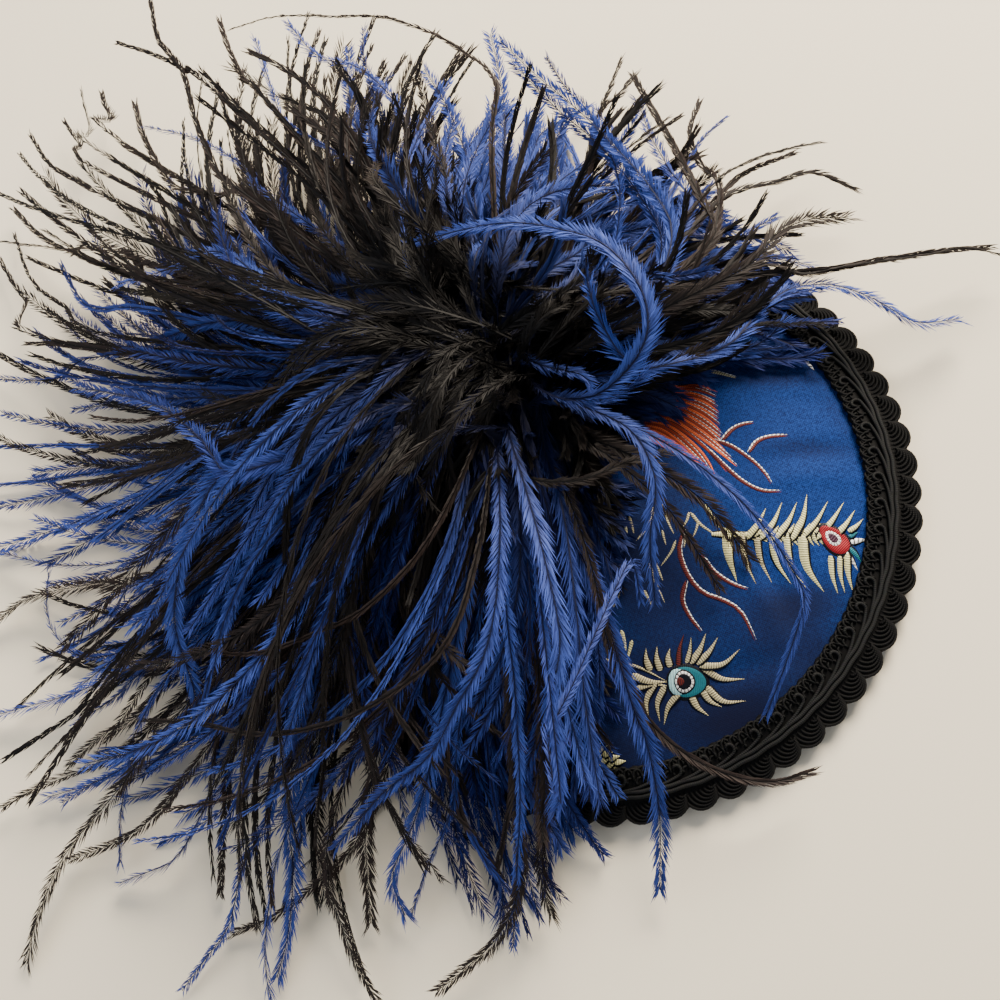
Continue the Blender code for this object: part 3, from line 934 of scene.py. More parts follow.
def gimp_material(settings):
    """Rayon gimp cord, spun round a core: near black, with a soft silky line of light on each cord and
    fine turns of yarn. Painted light makes the stems on top lighter, and painted shade makes the ground
    between the cords darker."""
    material, tree, shader = new_material(
        "rayon_gimp_cord_spun", {"Roughness": 0.65, "IOR": 1.45, "Specular IOR Level": 0.12}
    )
    along, around, shade = (
        add_node(tree, "Attribute", output="Fac", attribute_name=name)
        for name in ("along", "around", "shade")
    )
    turns = add_node(tree, "Math", {0: along, 1: settings.yarn_turn}, operation="DIVIDE")
    twist = add_node(tree, "Math", {0: turns, 1: around}, operation="ADD")
    angle = add_node(tree, "Math", {0: twist, 1: math.tau}, operation="MULTIPLY")
    wave = add_node(tree, "Math", {0: angle}, operation="SINE")
    place = add_node(tree, "TexCoord", output="Object")
    speck = add_node(
        tree, "TexNoise", {"Vector": place, "Scale": 1 / (0.7 * MM), "Detail": 2.0}, "Color"
    )
    # Painted light and shade: from the shaded groove on the ground to the lit stems on top
    cord = add_node(
        tree, "ValToRGB", {"Fac": shade}, stops=((0, (*settings.shaded_groove, 1)), (1, (*settings.lit_stem, 1)))
    )
    colour = add_node(
        tree, "Mix", {0: 0.35, MIX_A: cord, MIX_B: speck}, MIX_OUT,
        data_type="RGBA", blend_type="MULTIPLY",
    )
    tree.links.new(colour, shader.inputs["Base Color"])
    bump = add_node(tree, "Bump", {"Height": wave, "Strength": 0.4, "Distance": 0.06 * MM})
    tree.links.new(bump, shader.inputs["Normal"])
    return material


# The plume of ostrich flues

FLUE_POINTS = 15

# Round the plume, by bearing: reach of the blue and of the black flues and how far the black
# ones' tips lift, as shares of the flue length, the share of flues that are black, how far they
# swing to either side and how far they all lean anticlockwise, in degrees
PLUME_OUTLINE = (
    (0, 0.30, 0.26, 0.12, 0.60, 12, 0),
    (10, 0.60, 0.56, 0.13, 0.38, 7, 0),
    (22, 0.56, 0.56, 0.16, 0.24, 9, -3),
    (38, 0.48, 0.52, 0.18, 0.20, 12, -8),
    (60, 0.54, 0.54, 0.20, 0.13, 13, -10),
    (90, 0.62, 0.60, 0.20, 0.08, 14, -8),
    (110, 0.76, 0.80, 0.20, 0.14, 12, -12),
    (130, 0.84, 0.92, 0.19, 0.46, 8, -20),
    (150, 0.90, 1.00, 0.15, 0.78, 7, -24),
    (170, 0.92, 0.98, 0.11, 0.66, 9, -14),
    (190, 0.95, 0.94, 0.08, 0.55, 11, -2),
    (210, 0.98, 0.97, 0.04, 0.40, 12, 4),
    (235, 1.02, 1.04, 0.00, 0.28, 15, 7),
    (258, 0.96, 0.98, 0.01, 0.36, 15, 3),
    (275, 0.82, 0.82, 0.03, 0.42, 12, 0),
    (281, 0.74, 0.70, 0.04, 0.34, 8, 0),
    (286, 0.58, 0.54, 0.05, 0.36, 6, 0),
    (291, 0.46, 0.44, 0.06, 0.40, 7, 0),
    (299, 0.39, 0.38, 0.06, 0.45, 10, 0),
    (312, 0.29, 0.30, 0.08, 0.55, 12, 0),
    (335, 0.25, 0.26, 0.10, 0.60, 12, 0),
)
OUTLINE = np.array(PLUME_OUTLINE, float)


def round_plume(bearing, column):
    """A column of the outline's table at bearings, straight between its rows."""
    return np.interp(np.mod(bearing, 360), OUTLINE[:, 0], OUTLINE[:, column], period=360)


PLUME_FOOT = in_plan(PLUME_BEARING, PLUME_DISTANCE)

# Layers of the plume from below: flues, clumps that they fall in, lowest and highest share of
# the reach, root height, highest arch and tip height in mm, parts of black's share and lift,
# and the share of the way from which barbs are drawn, as those nearer the root are hidden
LAYERS = (
    ("under", 310, 48, 0.66, 1.00, 15, 6, 3, 0.85, 0.3, 0.42),
    ("low", 330, 46, 0.60, 0.98, 20, 13, 8, 1.00, 0.6, 0.34),
    ("middle", 290, 42, 0.48, 0.86, 27, 22, 15, 1.00, 0.9, 0.20),
    ("upper", 240, 36, 0.34, 0.66, 34, 26, 24, 1.0, 1.0, 0.08),
    ("crown", 220, 44, 0.16, 0.42, 40, 26, 27, 2.3, 0.35, 0.03),
)
FOOT_SPREAD = 6.5 * MM
ODD_DYE = 0.09

# Height at which the plume is flattened, and how far it may still go beyond it
TALLEST, HEADROOM = 70 * MM, 8 * MM

# How far flues of one clump part in bearing and in swing, and their wobble, in degrees
BEARING_PARTING, SWING_PARTING, WOBBLE = 2.8, 4.0, 1.8


def bell(bearing, middle, half_width):
    """One at the middle bearing, falling off to either side as a bell."""
    return np.exp(-(((bearing - middle) / half_width) ** 2))


def layer_paths(random, length, count, clumps, low, high, root, arch, tip, black_part, lift_part):
    """Paths of a layer's flues. In plan each runs straight out along its bearing and swings
    sideways as the square of its share of the way; in height it is the sum of its root
    falling off, an arch of one half wave, and its tip rising with the square of the share.
    Flues of one clump share a bearing, a swing and a dye, and part towards their tips. Clumps
    are thinner over the near edge of the base, and nothing goes under what it lies on."""
    share = np.linspace(0, 1, FLUE_POINTS)
    bearing = (np.arange(clumps) + random.uniform(-0.7, 0.7, clumps)) * 360 / clumps
    black = random.random(clumps) < round_plume(bearing, 4) * black_part
    swing = round_plume(bearing, 5) * random.normal(0, 1.0, clumps)
    reach = random.uniform(low, high, clumps)
    thinner = 0.5 * bell((bearing - 90) % 360, 180, 15)
    weight = random.uniform(0.35, 1.65, clumps) * (1 - thinner)
    clump = random.choice(clumps, count, p=weight / weight.sum())

    def spread(size):
        return random.normal(0, size, count)

    bearing = bearing[clump] + spread(BEARING_PARTING)
    swing = swing[clump] + spread(SWING_PARTING)
    black = black[clump] ^ (random.random(count) < ODD_DYE)
    bend = swing + round_plume(bearing, 6)
    tip_bearing = bearing + bend
    outline = np.where(black, round_plume(tip_bearing, 2), round_plume(tip_bearing, 1))
    reach = np.clip(reach[clump] + spread(0.08), low * 0.8, 1.0) * outline * length
    turns = share * random.uniform(0.4, 0.9, (count, 1)) + random.random((count, 1))
    wobble = spread(WOBBLE)[:, None] * np.sin(math.tau * turns) * share
    heading = np.radians(bearing[:, None] + bend[:, None] * share**2 + wobble)
    start = random.uniform(1.0, 11.0, count) * MM
    away = start[:, None] + (reach - start)[:, None] * share
    root_height = (root + spread(3.0)) * MM
    arch_height = np.abs(arch + spread(5.0)) * MM * (reach / (0.55 * (low + high) * length))
    tip_height = np.abs(tip + spread(0.35 * tip + 2)) * MM
    tip_height += np.where(black, round_plume(bearing, 3) * lift_part, 0) * length
    foot = random.normal(0, FOOT_SPREAD, (2, count, 1)) * (1 - share) ** 2
    x = PLUME_FOOT[0] + away * np.cos(heading) + foot[0]
    y = PLUME_FOOT[1] + away * np.sin(heading) + foot[1]
    z = (
        root_height[:, None] * (1 - share) ** 1.4
        + arch_height[:, None] * np.sin(math.pi * share**0.85)
        + tip_height[:, None] * share**2
    )
    floor = lying_height(x, y) + (0.8 + 2.5 * random.random((count, 1)) ** 2) * MM
    over = np.maximum(z - TALLEST, 0)
    z = np.minimum(z, TALLEST) + over / (1 + over / HEADROOM)
    return np.stack([x, y, np.maximum(z, floor)], axis=-1), black


# Flues that show singly in the photograph: dye, kind of barbs, root height, bump and tip
# height in mm, and pixels from the tip inwards
SINGLE_FLUES = (
    ("black", "slim", 30, 6, 32,
        (150, 0), (159, 41), (182, 70), (191, 105), (204, 143), (223, 179), (242, 191),
    ),
    ("black", "slim", 30, 8, 30, (118, 43), (153, 54), (191, 73), (220, 96)),
    ("black", "slim", 30, 6, 30, (220, 21), (230, 51), (249, 86), (271, 105)),
    ("black", "slim", 28, 5, 8, (81, 92), (92, 134), (112, 159)),
    ("black", "slim", 28, 5, 9, (102, 94), (110, 121), (128, 147)),
    ("black", "slim", 30, 8, 12, (135, 104), (143, 134), (159, 166), (179, 188), (223, 195), (271, 210)),
    ("black", "slim", 28, 5, 8, (64, 121), (83, 150), (108, 175)),
    ("black", "slim", 28, 6, 8, (30, 135), (51, 166), (80, 182), (128, 207)),
    ("black", "slim", 28, 6, 6, (14, 209), (41, 236), (77, 252), (128, 255)),
    ("black", "slim", 26, 6, 6, (14, 234), (32, 281), (64, 306), (128, 338)),
    ("black", "slim", 26, 6, 8, (0, 241), (64, 249), (140, 262)),
    ("black", "slim", 26, 6, 6, (0, 261), (26, 303), (64, 344)),
    ("black", "slim", 26, 5, 8, (29, 343), (80, 344), (160, 350)),
    ("black", "slim", 34, 18, 38,
        (231, 29), (277, 16), (338, 16), (383, 17), (430, 32), (461, 50), (496, 82), (492, 153),
    ),
    ("blue", "broad", 30, 10, 16, (145, 126), (191, 137), (230, 156), (255, 179), (281, 204)),
    ("blue", "broad", 34, 16, 22, (118, 284), (172, 268), (204, 252), (236, 258), (281, 297), (335, 319)),
    ("blue", "slim", 26, 6, 8, (61, 265), (83, 303), (105, 309), (180, 316)),
    ("blue", "broad", 30, 8, 24, (255, 38), (271, 86), (287, 121), (351, 159), (430, 191)),
    ("blue", "broad", 30, 8, 26, (287, 22), (319, 57), (367, 73), (420, 150)),
    ("blue", "broad", 30, 10, 18, (349, 48), (351, 105), (390, 200)),
    ("blue", "broad", 30, 8, 24, (363, 29), (367, 73), (410, 180)),
    ("blue", "broad", 32, 14, 22, (424, 69), (446, 105), (462, 143), (472, 185)),
    ("blue", "broad", 26, 6, 8, (0, 379), (57, 379), (128, 354)),
    ("blue", "broad", 28, 8, 14, (150, 344), (217, 322), (300, 330)),
    ("blue", "broad", 30, 10, 20, (172, 405), (223, 376), (287, 367), (351, 367)),
    ("blue", "broad", 34, 18, 24,
        (76, 388), (127, 396), (169, 412), (204, 443), (226, 472), (271, 463), (348, 440),
    ),
    ("blue", "broad", 34, 18, 16,
        (198, 710), (191, 679), (179, 643), (174, 612), (179, 570), (191, 532), (204, 500),
        (226, 472), (271, 463), (348, 440),
    ),
    ("blue", "broad", 26, 6, 5,
        (49, 572), (46, 605), (54, 634), (77, 655), (108, 656), (143, 640), (172, 608),
    ),
    ("blue", "broad", 26, 6, 5, (0, 714), (48, 701), (80, 691), (128, 669), (172, 640)),
    ("blue", "broad", 26, 6, 5, (73, 725), (118, 695), (172, 650)),
    ("black", "broad", 26, 6, 5, (0, 618), (32, 596), (96, 583), (172, 564)),
    ("black", "broad", 26, 6, 4, (69, 765), (105, 733), (137, 717), (200, 650)),
    ("black", "broad", 26, 6, 4, (3, 808), (32, 790), (73, 774), (128, 749), (220, 660)),
    ("blue", "broad", 26, 6, 4, (62, 803), (96, 781), (128, 765), (210, 690)),
    ("black", "broad", 26, 5, 3,
        (27, 964), (35, 924), (51, 883), (67, 851), (96, 816), (118, 790), (200, 690),
    ),
    ("black", "broad", 26, 5, 4, (69, 860), (112, 844), (159, 812), (230, 720)),
    ("blue", "broad", 26, 6, 4, (120, 863), (120, 819), (128, 771), (140, 723), (210, 630)),
    ("blue", "broad", 26, 6, 4, (120, 883), (143, 873), (179, 854), (240, 760)),
    ("black", "broad", 26, 6, 4, (220, 895), (223, 851), (226, 803), (260, 700)),
    ("black", "broad", 28, 8, 8, (226, 828), (255, 803), (277, 781), (330, 690)),
    ("blue", "broad", 26, 5, 3, (182, 991), (210, 953), (230, 924), (242, 867), (265, 825), (310, 720)),
    ("blue", "broad", 26, 5, 3, (271, 1000), (265, 962), (270, 900), (300, 800)),
    ("blue", "broad", 26, 5, 3, (277, 978), (289, 930), (293, 867), (289, 803), (320, 700)),
    ("black", "broad", 26, 5, 3, (230, 934), (271, 918), (303, 895), (335, 867), (360, 835), (400, 730)),
    ("blue", "broad", 34, 18, 20, (335, 848), (383, 793), (430, 755), (456, 707), (488, 643), (500, 540)),
    ("black", "broad", 28, 8, 5, (371, 924), (367, 867), (367, 822), (390, 720)),
    ("black", "broad", 26, 6, 4, (376, 1000), (354, 959), (338, 915), (328, 876), (345, 780)),
    ("blue", "broad", 28, 8, 6, (405, 915), (392, 876), (415, 819), (440, 720)),
    ("blue", "broad", 28, 8, 6, (411, 915), (427, 867), (453, 803), (462, 710)),
    ("black", "broad", 28, 8, 5, (437, 991), (462, 972), (500, 934), (520, 880), (515, 780)),
    ("black", "slim", 28, 8, 6, (500, 876), (475, 838), (456, 797), (450, 700)),
    ("black", "slim", 34, 22, 22, (191, 650), (255, 653), (319, 631), (376, 599), (440, 520)),
    ("black", "slim", 34, 22, 18,
        (143, 720), (198, 723), (255, 734), (319, 726), (383, 698), (446, 643), (480, 540),
    ),
    ("blue", "broad", 30, 12, 8, (513, 948), (516, 880), (520, 800), (515, 690), (505, 560)),
    ("black", "broad", 30, 12, 6, (551, 916), (540, 870), (545, 790), (540, 680), (525, 560)),
    ("blue", "broad", 32, 10, 26,
        (500, 41), (538, 77), (580, 112), (618, 150), (653, 191), (672, 236), (640, 300),
    ),
    ("blue", "broad", 32, 10, 20, (546, 57), (567, 89), (592, 118), (620, 190), (600, 280)),
    ("blue", "broad", 32, 9, 22, (512, 62), (556, 108), (600, 146), (640, 196), (662, 246), (632, 310)),
    ("blue", "broad", 30, 9, 16, (596, 108), (628, 158), (652, 208), (668, 262), (640, 320)),
    ("blue", "broad", 30, 8, 24, (490, 34), (500, 80), (505, 150)),
    ("black", "slim", 32, 8, 18, (621, 59), (608, 92), (596, 121), (580, 200)),
    ("black", "slim", 32, 8, 18, (634, 75), (615, 99), (596, 121), (575, 220)),
    ("blue", "broad", 30, 8, 14, (637, 99), (650, 134), (669, 169), (688, 204), (650, 270)),
    ("black", "slim", 30, 8, 14, (634, 77), (672, 143), (704, 204), (714, 236), (660, 290)),
    ("black", "slim", 30, 8, 14, (699, 102), (690, 134), (704, 169), (720, 191), (690, 260)),
    ("blue", "slim", 30, 8, 14, (725, 118), (701, 140), (685, 166), (640, 240)),
    ("black", "slim", 30, 8, 12, (819, 142), (771, 153), (733, 169), (707, 191), (650, 260)),
    ("black", "slim", 30, 8, 12, (793, 153), (742, 175), (690, 220)),
    ("black", "slim", 30, 8, 12, (854, 188), (812, 172), (774, 182), (723, 198), (660, 260)),
    ("black", "soft", 34, 20, 50, (848, 217), (806, 220), (774, 236), (749, 265), (660, 310)),
    ("blue", "light", 30, 8, 14, (776, 217), (752, 230), (723, 252), (650, 290)),
    ("black", "slim", 30, 6, 10,
        (1000, 254), (962, 247), (930, 254), (851, 265), (803, 274), (761, 265), (691, 287),
        (600, 330),
    ),
    ("black", "slim", 30, 6, 9, (990, 247), (940, 251), (880, 260), (820, 270), (740, 277), (660, 305)),
    ("blue", "broad", 30, 8, 8,
        (959, 319), (915, 322), (876, 300), (832, 285), (787, 290), (755, 316), (723, 348),
        (643, 370), (560, 380),
    ),
    ("blue", "broad", 26, 4, 12, (806, 297), (755, 306), (707, 344), (637, 370), (560, 375)),
    ("blue", "broad", 26, 3, 12, (824, 288), (770, 300), (712, 330), (650, 350), (570, 366)),
    ("blue", "broad", 34, 26, 46,
        (400, 245), (500, 223), (564, 230), (605, 245), (637, 281), (648, 319), (637, 357),
        (596, 395), (540, 400),
    ),
    ("blue", "broad", 36, 10, 52, (586, 277), (596, 312), (618, 351), (640, 376), (600, 400), (550, 395)),
    ("blue", "broad", 34, 6, 44, (592, 395), (583, 376), (548, 367), (513, 359)),
    ("black", "soft", 32, 10, 30, (675, 450), (628, 462), (573, 481), (520, 470)),
    ("black", "slim", 26, 5, 12,
        (808, 773), (770, 782), (730, 775), (690, 757), (655, 728), (632, 690), (605, 610),
        (570, 520),
    ),
    ("blue", "light", 28, 12, 16, (767, 713), (786, 663), (802, 610), (798, 579), (740, 500), (640, 430)),
    ("blue", "broad", 28, 9, 8,
        (660, 890), (660, 820), (654, 775), (644, 733), (632, 704), (600, 600), (560, 500),
    ),
    ("blue", "soft", 34, 14, 34, (556, 810), (560, 760), (552, 700), (560, 640), (545, 560), (520, 470)),
    ("blue", "soft", 34, 14, 34, (640, 600), (632, 560), (610, 600), (575, 680), (548, 740), (560, 790)),
    ("blue", "broad", 32, 12, 26, (655, 600), (650, 540), (655, 480), (630, 430), (570, 400)),
    ("blue", "broad", 30, 8, 16, (600, 800), (585, 700), (575, 600), (560, 500), (530, 440)),
    ("black", "soft", 30, 8, 18, (640, 730), (610, 650), (590, 560), (560, 480), (520, 430)),
    ("black", "broad", 30, 6, 16, (720, 590), (690, 540), (660, 500), (600, 450), (540, 420)),
    ("black", "broad", 30, 6, 14, (750, 560), (720, 520), (690, 490), (620, 450), (550, 425)),
)

# Roots of the single flues: the hub's pixel, the nearest and the width of the ring of pixels
# round it, and the step from one to the next over that ring and round it in radians
HUB_PIXEL = (505, 385)
RING_NEAREST, RING_WIDTH = 6, 26
RING_STEP, ROOT_TURN = 0.618, 2.4
SINGLE_POINTS = 34


def single_paths():
    """Paths of the flues in the table: the pixels from the hub outwards, each carried to its
    height, which runs from the root's to the tip's with a parabola's bump between them. The
    steps from root to root spread them evenly round the hub."""
    share = np.linspace(0, 1, SINGLE_POINTS)
    paths = []
    for index, (_, _, root, bump, tip, *pixels) in enumerate(SINGLE_FLUES):
        aside = RING_NEAREST + RING_WIDTH * (index * RING_STEP % 1)
        hub = np.array(HUB_PIXEL) + in_plan(90 - math.degrees(index * ROOT_TURN), aside)
        route = smooth_route([hub, *pixels[::-1]], SINGLE_POINTS)
        height = (root * (1 - share) + tip * share + 4 * bump * share * (1 - share)) * MM
        path = photo_at_height(route, height)
        path[:, 2] = np.maximum(path[:, 2], lying_height(path[:, 0], path[:, 1]) + 1.0 * MM)
        paths.append(path)
    return np.array(paths)


# Barbs of a flue by its kind: length and spacing in mm, angle off the shaft in degrees, width
# in mm, and how unruly they are as a share of the broad kind's
BARBS = {
    "broad": (5.6, 0.29, 26, 0.32, 1.0),
    "soft": (5.8, 0.34, 21, 0.32, 1.0),
    "light": (4.8, 0.34, 18, 0.28, 0.5),
    "slim": (5.0, 0.31, 12, 0.34, 0.35),
}
SHAFT_RADIUS = 0.26 * MM
MOST_BARBS = 440
SHAFT_TINT = 0.8

# How far barbs stray, in degrees: roll of a whole flue, splay out of its plane, and angle
FLUE_ROLL, BARB_SPLAY, BARB_STRAY = 28, 16, 3.5


def add_flues(pile, random, paths, kind, tone, length, first_barb=0.04, root_shade_reach=1.0):
    """Flues on paths: a shaft that narrows to its tip, and barbs on both sides of it. Each barb is a slim
    triangle, widest half way out, whose direction is the cosine of its angle along the shaft and the sine
    of it sideways, longest a quarter of the way out and shortest at the tip. Waves along the shaft open
    and close them in tufts. A barb drawn stands for the few that cling together there. A smaller reach of
    the root shade shortens the painted shade towards the root."""
    if not len(paths):
        return
    barb_length, spacing, angle, width, unruly = BARBS[kind]
    count, points = paths.shape[:2]
    ahead = unit(np.gradient(paths, axis=1))
    roll = random.normal(0, math.radians(FLUE_ROLL), (count, 1, 1))
    level = unit(np.cross(ahead, UPWARDS))
    square = np.cross(level, ahead)
    side = np.cos(roll) * level + np.sin(roll) * square
    lift = np.cos(roll) * square - np.sin(roll) * level
    share = np.linspace(0, 1, points)
    runs = np.linalg.norm(np.diff(paths, axis=1), axis=-1).sum(axis=1)
    distance = runs / length / root_shade_reach
    shaft = tubes(paths, SHAFT_RADIUS * (1 - 0.6 * share), 3, lift)
    shaft_along = np.repeat(distance[:, None] * share, 3, axis=1).ravel()
    pile.add_grids(shaft, True, tone=np.repeat(tone, points * 3), along=shaft_along, shaft=1.0)

    per_side = int(np.clip(np.mean(runs) * (1 - first_barb) / (spacing * MM), 16, MOST_BARBS))
    jitter = random.uniform(-0.5, 0.5, (2, count, per_side)) / per_side
    station = np.clip(np.linspace(first_barb, 0.995, per_side) + jitter, 0.02, 0.999)
    place = station * (points - 1)
    lower = np.minimum(place.astype(int), points - 2)
    part = (place - lower)[..., None]
    flue = np.arange(count)[None, :, None]
    root, forward, out, up = (
        (1 - part) * field[flue, lower] + part * field[flue, lower + 1]
        for field in (paths, ahead, side, lift)
    )
    hand = np.array([1.0, -1.0])[:, None, None, None]
    waves, phase = (random.uniform(*ends, (2, count, 1)) for ends in ((25, 60), (0, math.tau)))
    closing = 1.1 - 0.15 * station**2 + 0.22 * unruly * np.sin(station * waves + phase)
    stray = unruly * random.normal(0, BARB_STRAY, station.shape)
    spread = np.radians(angle * closing + stray)[..., None]
    splay = random.normal(0, math.radians(BARB_SPLAY), station.shape)[..., None]
    sideways = hand * out * np.cos(splay) + up * np.sin(splay)
    direction = np.cos(spread) * forward + np.sin(spread) * sideways
    swell = (0.45 + 0.55 * np.clip(station / 0.25, 0, 1)) * (1 - 0.25 * station**4)
    fullness = random.uniform(0.6, 1.15, (1, count, 1))
    uneven = 1 - unruly * random.uniform(-0.15, 0.35, station.shape)
    reach = (barb_length * MM * fullness * swell * uneven)[..., None]
    tip = root + direction * reach + forward * reach * 0.10 - up * reach * 0.06
    aside = (np.cos(spread) * sideways - np.sin(spread) * forward) * width * MM
    aside = aside * random.choice([-1.0, 1.0], station.shape)[..., None]
    barbs = np.stack([root, (root + tip) / 2 + aside, tip], axis=-2).reshape(-1, 3, 3)
    low = lying_height(barbs[..., 0], barbs[..., 1]) + 0.1 * MM
    barbs[..., 2] = np.maximum(barbs[..., 2], low)
    faces = np.arange(len(barbs) * 3).reshape(-1, 3)
    flue_tone = np.broadcast_to(tone[None, :, None], station.shape)
    barb_tone = np.clip(flue_tone + random.normal(0, 0.16, station.shape), 0, 1)
    pile.add(
        barbs, faces, tone=np.repeat(barb_tone.ravel(), 3),
        along=np.repeat((station * distance[None, :, None]).ravel(), 3),
        shaft=np.tile([SHAFT_TINT, 0.0, 0.0], len(barbs)),
    )


def build_plume(blue, black, settings):
    """Every layer and the single flues, sorted into pieces of one dye each. Black flues are slimmer. On
    the blue, painted light makes the far side and the side round 216 degrees paler and painted shade
    makes its near side darker, and on both dyes the painted root shade is shorter on the far side."""
    length = settings.flue_length
    piles = {}
    for index, (name, *sizes, first_barb) in enumerate(LAYERS):
        random = np.random.default_rng(settings.seed + index)
        paths, is_black = layer_paths(random, length, *sizes)
        tone = random.beta(1.5, 2.2, len(paths))
        away = paths[:, -1, :2] - PLUME_FOOT
        bearing = np.degrees(np.arctan2(away[:, 1], away[:, 0])) % 360
        # Painted light and shade by bearing: paler on the far side and round 216 degrees, darker on the
        # near side; the tone mixes this with the dye's random unevenness
        lit_far_side = bell(bearing, 80, 45)
        shift = 0.45 * lit_far_side + 0.34 * bell(bearing, 216, 30) - 0.26 * bell(bearing, 270, 22)
        tone = np.clip(tone + shift * ~is_black, 0, 1)
        root_shade_reach = 1 - 0.45 * lit_far_side
        clinging_side = (bearing > 20) & (bearing < 196)
        chance = np.where(is_black, 0.70, 0.25) + 0.15 * clinging_side
        slim = random.random(len(paths)) < chance * (0.2 if name == "crown" else 1)
        for dye, chosen in (("blue", ~is_black), ("black", is_black)):
            pile = piles.setdefault((dye, name), Pile("tone", "along", "shaft"))
            full = "soft" if name == "crown" else "broad"
            for kind, those in (("slim", chosen & slim), (full, chosen & ~slim)):
                add_flues(
                    pile, random, paths[those], kind, tone[those], length, first_barb, root_shade_reach[those]
                )
    random = np.random.default_rng(settings.seed + 50)
    for (dye, kind, *_), path in zip(SINGLE_FLUES, single_paths()):
        pile = piles.setdefault((dye, "single"), Pile("tone", "along", "shaft"))
        tone = np.array([random.uniform(0.45, 0.95)])
        add_flues(pile, random, path[None], kind, tone, length, root_shade_reach=0.5)
    for (dye, name), pile in piles.items():
        material = {"blue": blue, "black": black}[dye]
        pile.make(f"{dye}_flues_{name}", material, f"{dye}_feather", [f"{dye}_feathers"], smooth=False)


def flue_material(name, deep, lit, shaft_and_root_shade, root_shade_to):
    """Dyed ostrich flue, keratin barbs on a darker shaft: the dye is uneven from flue to flue, painted
    light lifts it on the lit side, painted shade darkens it towards the root, and each barb has a soft
    sheen and no gloss."""
    material, tree, shader = new_material(
        name,
        {"Roughness": 0.6, "IOR": 1.5, "Specular IOR Level": 0.2,
         "Sheen Weight": 0.08, "Sheen Roughness": 0.5, "Sheen Tint": lit},
    )
    tone, along, shaft = (
        add_node(tree, "Attribute", output="Fac", attribute_name=value)
        for value in ("tone", "along", "shaft")
    )
    dyed = add_node(tree, "Mix", {0: tone, MIX_A: deep, MIX_B: lit}, MIX_OUT, data_type="RGBA")
    # Painted shade, darkest at the root and gone where along reaches root_shade_to
    root_shade = add_node(
        tree, "MapRange",
        {"Value": along, "From Min": 0.10, "From Max": root_shade_to, "To Min": 0.96, "To Max": 0.0},
    )
    root_shaded = add_node(
        tree, "Mix", {0: root_shade, MIX_A: dyed, MIX_B: shaft_and_root_shade}, MIX_OUT, data_type="RGBA"
    )
    on_shaft = add_node(tree, "Math", {0: shaft, 1: 0.96}, operation="MULTIPLY")
    colour = add_node(
        tree, "Mix", {0: on_shaft, MIX_A: root_shaded, MIX_B: shaft_and_root_shade}, MIX_OUT, data_type="RGBA"
    )
    tree.links.new(colour, shader.inputs["Base Color"])
    return material


# The comb under the base


def comb_material():
    """Moulded polystyrene hair comb, lightly polished: dark brown, with faint flow marks."""
    material, tree, shader = new_material("polystyrene_comb_moulded", {"Roughness": 0.32, "IOR": 1.55})
    place = add_node(tree, "TexCoord", output="Object")
    flow = add_node(
        tree, "TexNoise", {"Vector": place, "Scale": 1 / (9 * MM), "Detail": 2.0, "Distortion": 1.2}
    )
    colour = add_node(
        tree, "ValToRGB", {"Fac": flow}, stops=((0.35, linear("#1d120d")), (0.7, linear("#3b2417")))
    )
    tree.links.new(colour, shader.inputs["Base Color"])
    fine = add_node(tree, "TexNoise", {"Vector": place, "Scale": 1 / (0.8 * MM), "Detail": 2.0})
    bump = add_node(tree, "Bump", {"Height": fine, "Strength": 0.1, "Distance": 0.05 * MM})
    tree.links.new(bump, shader.inputs["Normal"])
    return material


# The floor it lies on, the light and the camera


def build_stage(settings):
    """A plain pale floor, a broad soft light from the far side, a weaker one from the left,
    and the photograph's camera."""
    half = settings.floor_width / 2
    corners = [(-half, -half, 0), (half, -half, 0), (half, half, 0), (-half, half, 0)]
    mesh = bpy.data.meshes.new("floor")
    mesh.from_pydata(corners, [], [(0, 1, 2, 3)])
    floor = bpy.data.objects.new("floor", mesh)
    bpy.context.collection.objects.link(floor)
    material, tree, shader = new_material("matt_paper_floor", {"Roughness": 0.85})
    place = add_node(tree, "TexCoord", output="Object")
    cloud = add_node(tree, "TexNoise", {"Vector": place, "Scale": 6.0, "Detail": 2.0})
    light, dark = (*settings.floor, 1), (*(0.94 * channel for channel in settings.floor), 1)
    colour = add_node(tree, "ValToRGB", {"Fac": cloud}, stops=((0, dark), (1, light)))
    tree.links.new(colour, shader.inputs["Base Color"])
    mesh.materials.append(material)

    for name, place, size, watts, colour in (
        ("window", (0.34, 0.72, 0.60), 0.6, settings.window_power, "#fff1dd"),
        ("fill", (-0.75, -0.2, 1.0), 1.2, settings.fill_power, "#eef3ff"),
    ):
        light = bpy.data.lights.new(name, "AREA")
        light.shape, light.size, light.energy = "DISK", size, watts
        light.color = linear(colour)[:3]
        lamp = bpy.data.objects.new(name, light)
        lamp.location = place
        lamp.rotation_euler = (-Vector(place)).to_track_quat("-Z", "Y").to_euler()
        bpy.context.collection.objects.link(lamp)
    world = bpy.data.worlds.new("soft_room")
    bpy.context.scene.world = world
    world.use_nodes = True
    background = world.node_tree.nodes["Background"]
    background.inputs["Color"].default_value = linear("#e8ecf2")
    background.inputs["Strength"].default_value = 0.45

    place, right, up, forward = view_axes()
    camera = bpy.data.objects.new("camera", bpy.data.cameras.new("camera"))
    camera.data.sensor_fit = "HORIZONTAL"
    camera.data.angle = math.radians(VIEW_FIELD)
    camera.data.clip_start = 0.01
    turn = Matrix(np.column_stack([right, up, -forward]).tolist()).to_4x4()
    camera.matrix_world = Matrix.Translation(place + BASE_MIDDLE) @ turn
    bpy.context.collection.objects.link(camera)
    bpy.context.scene.camera = camera


# The add-on's settings, operators and panel


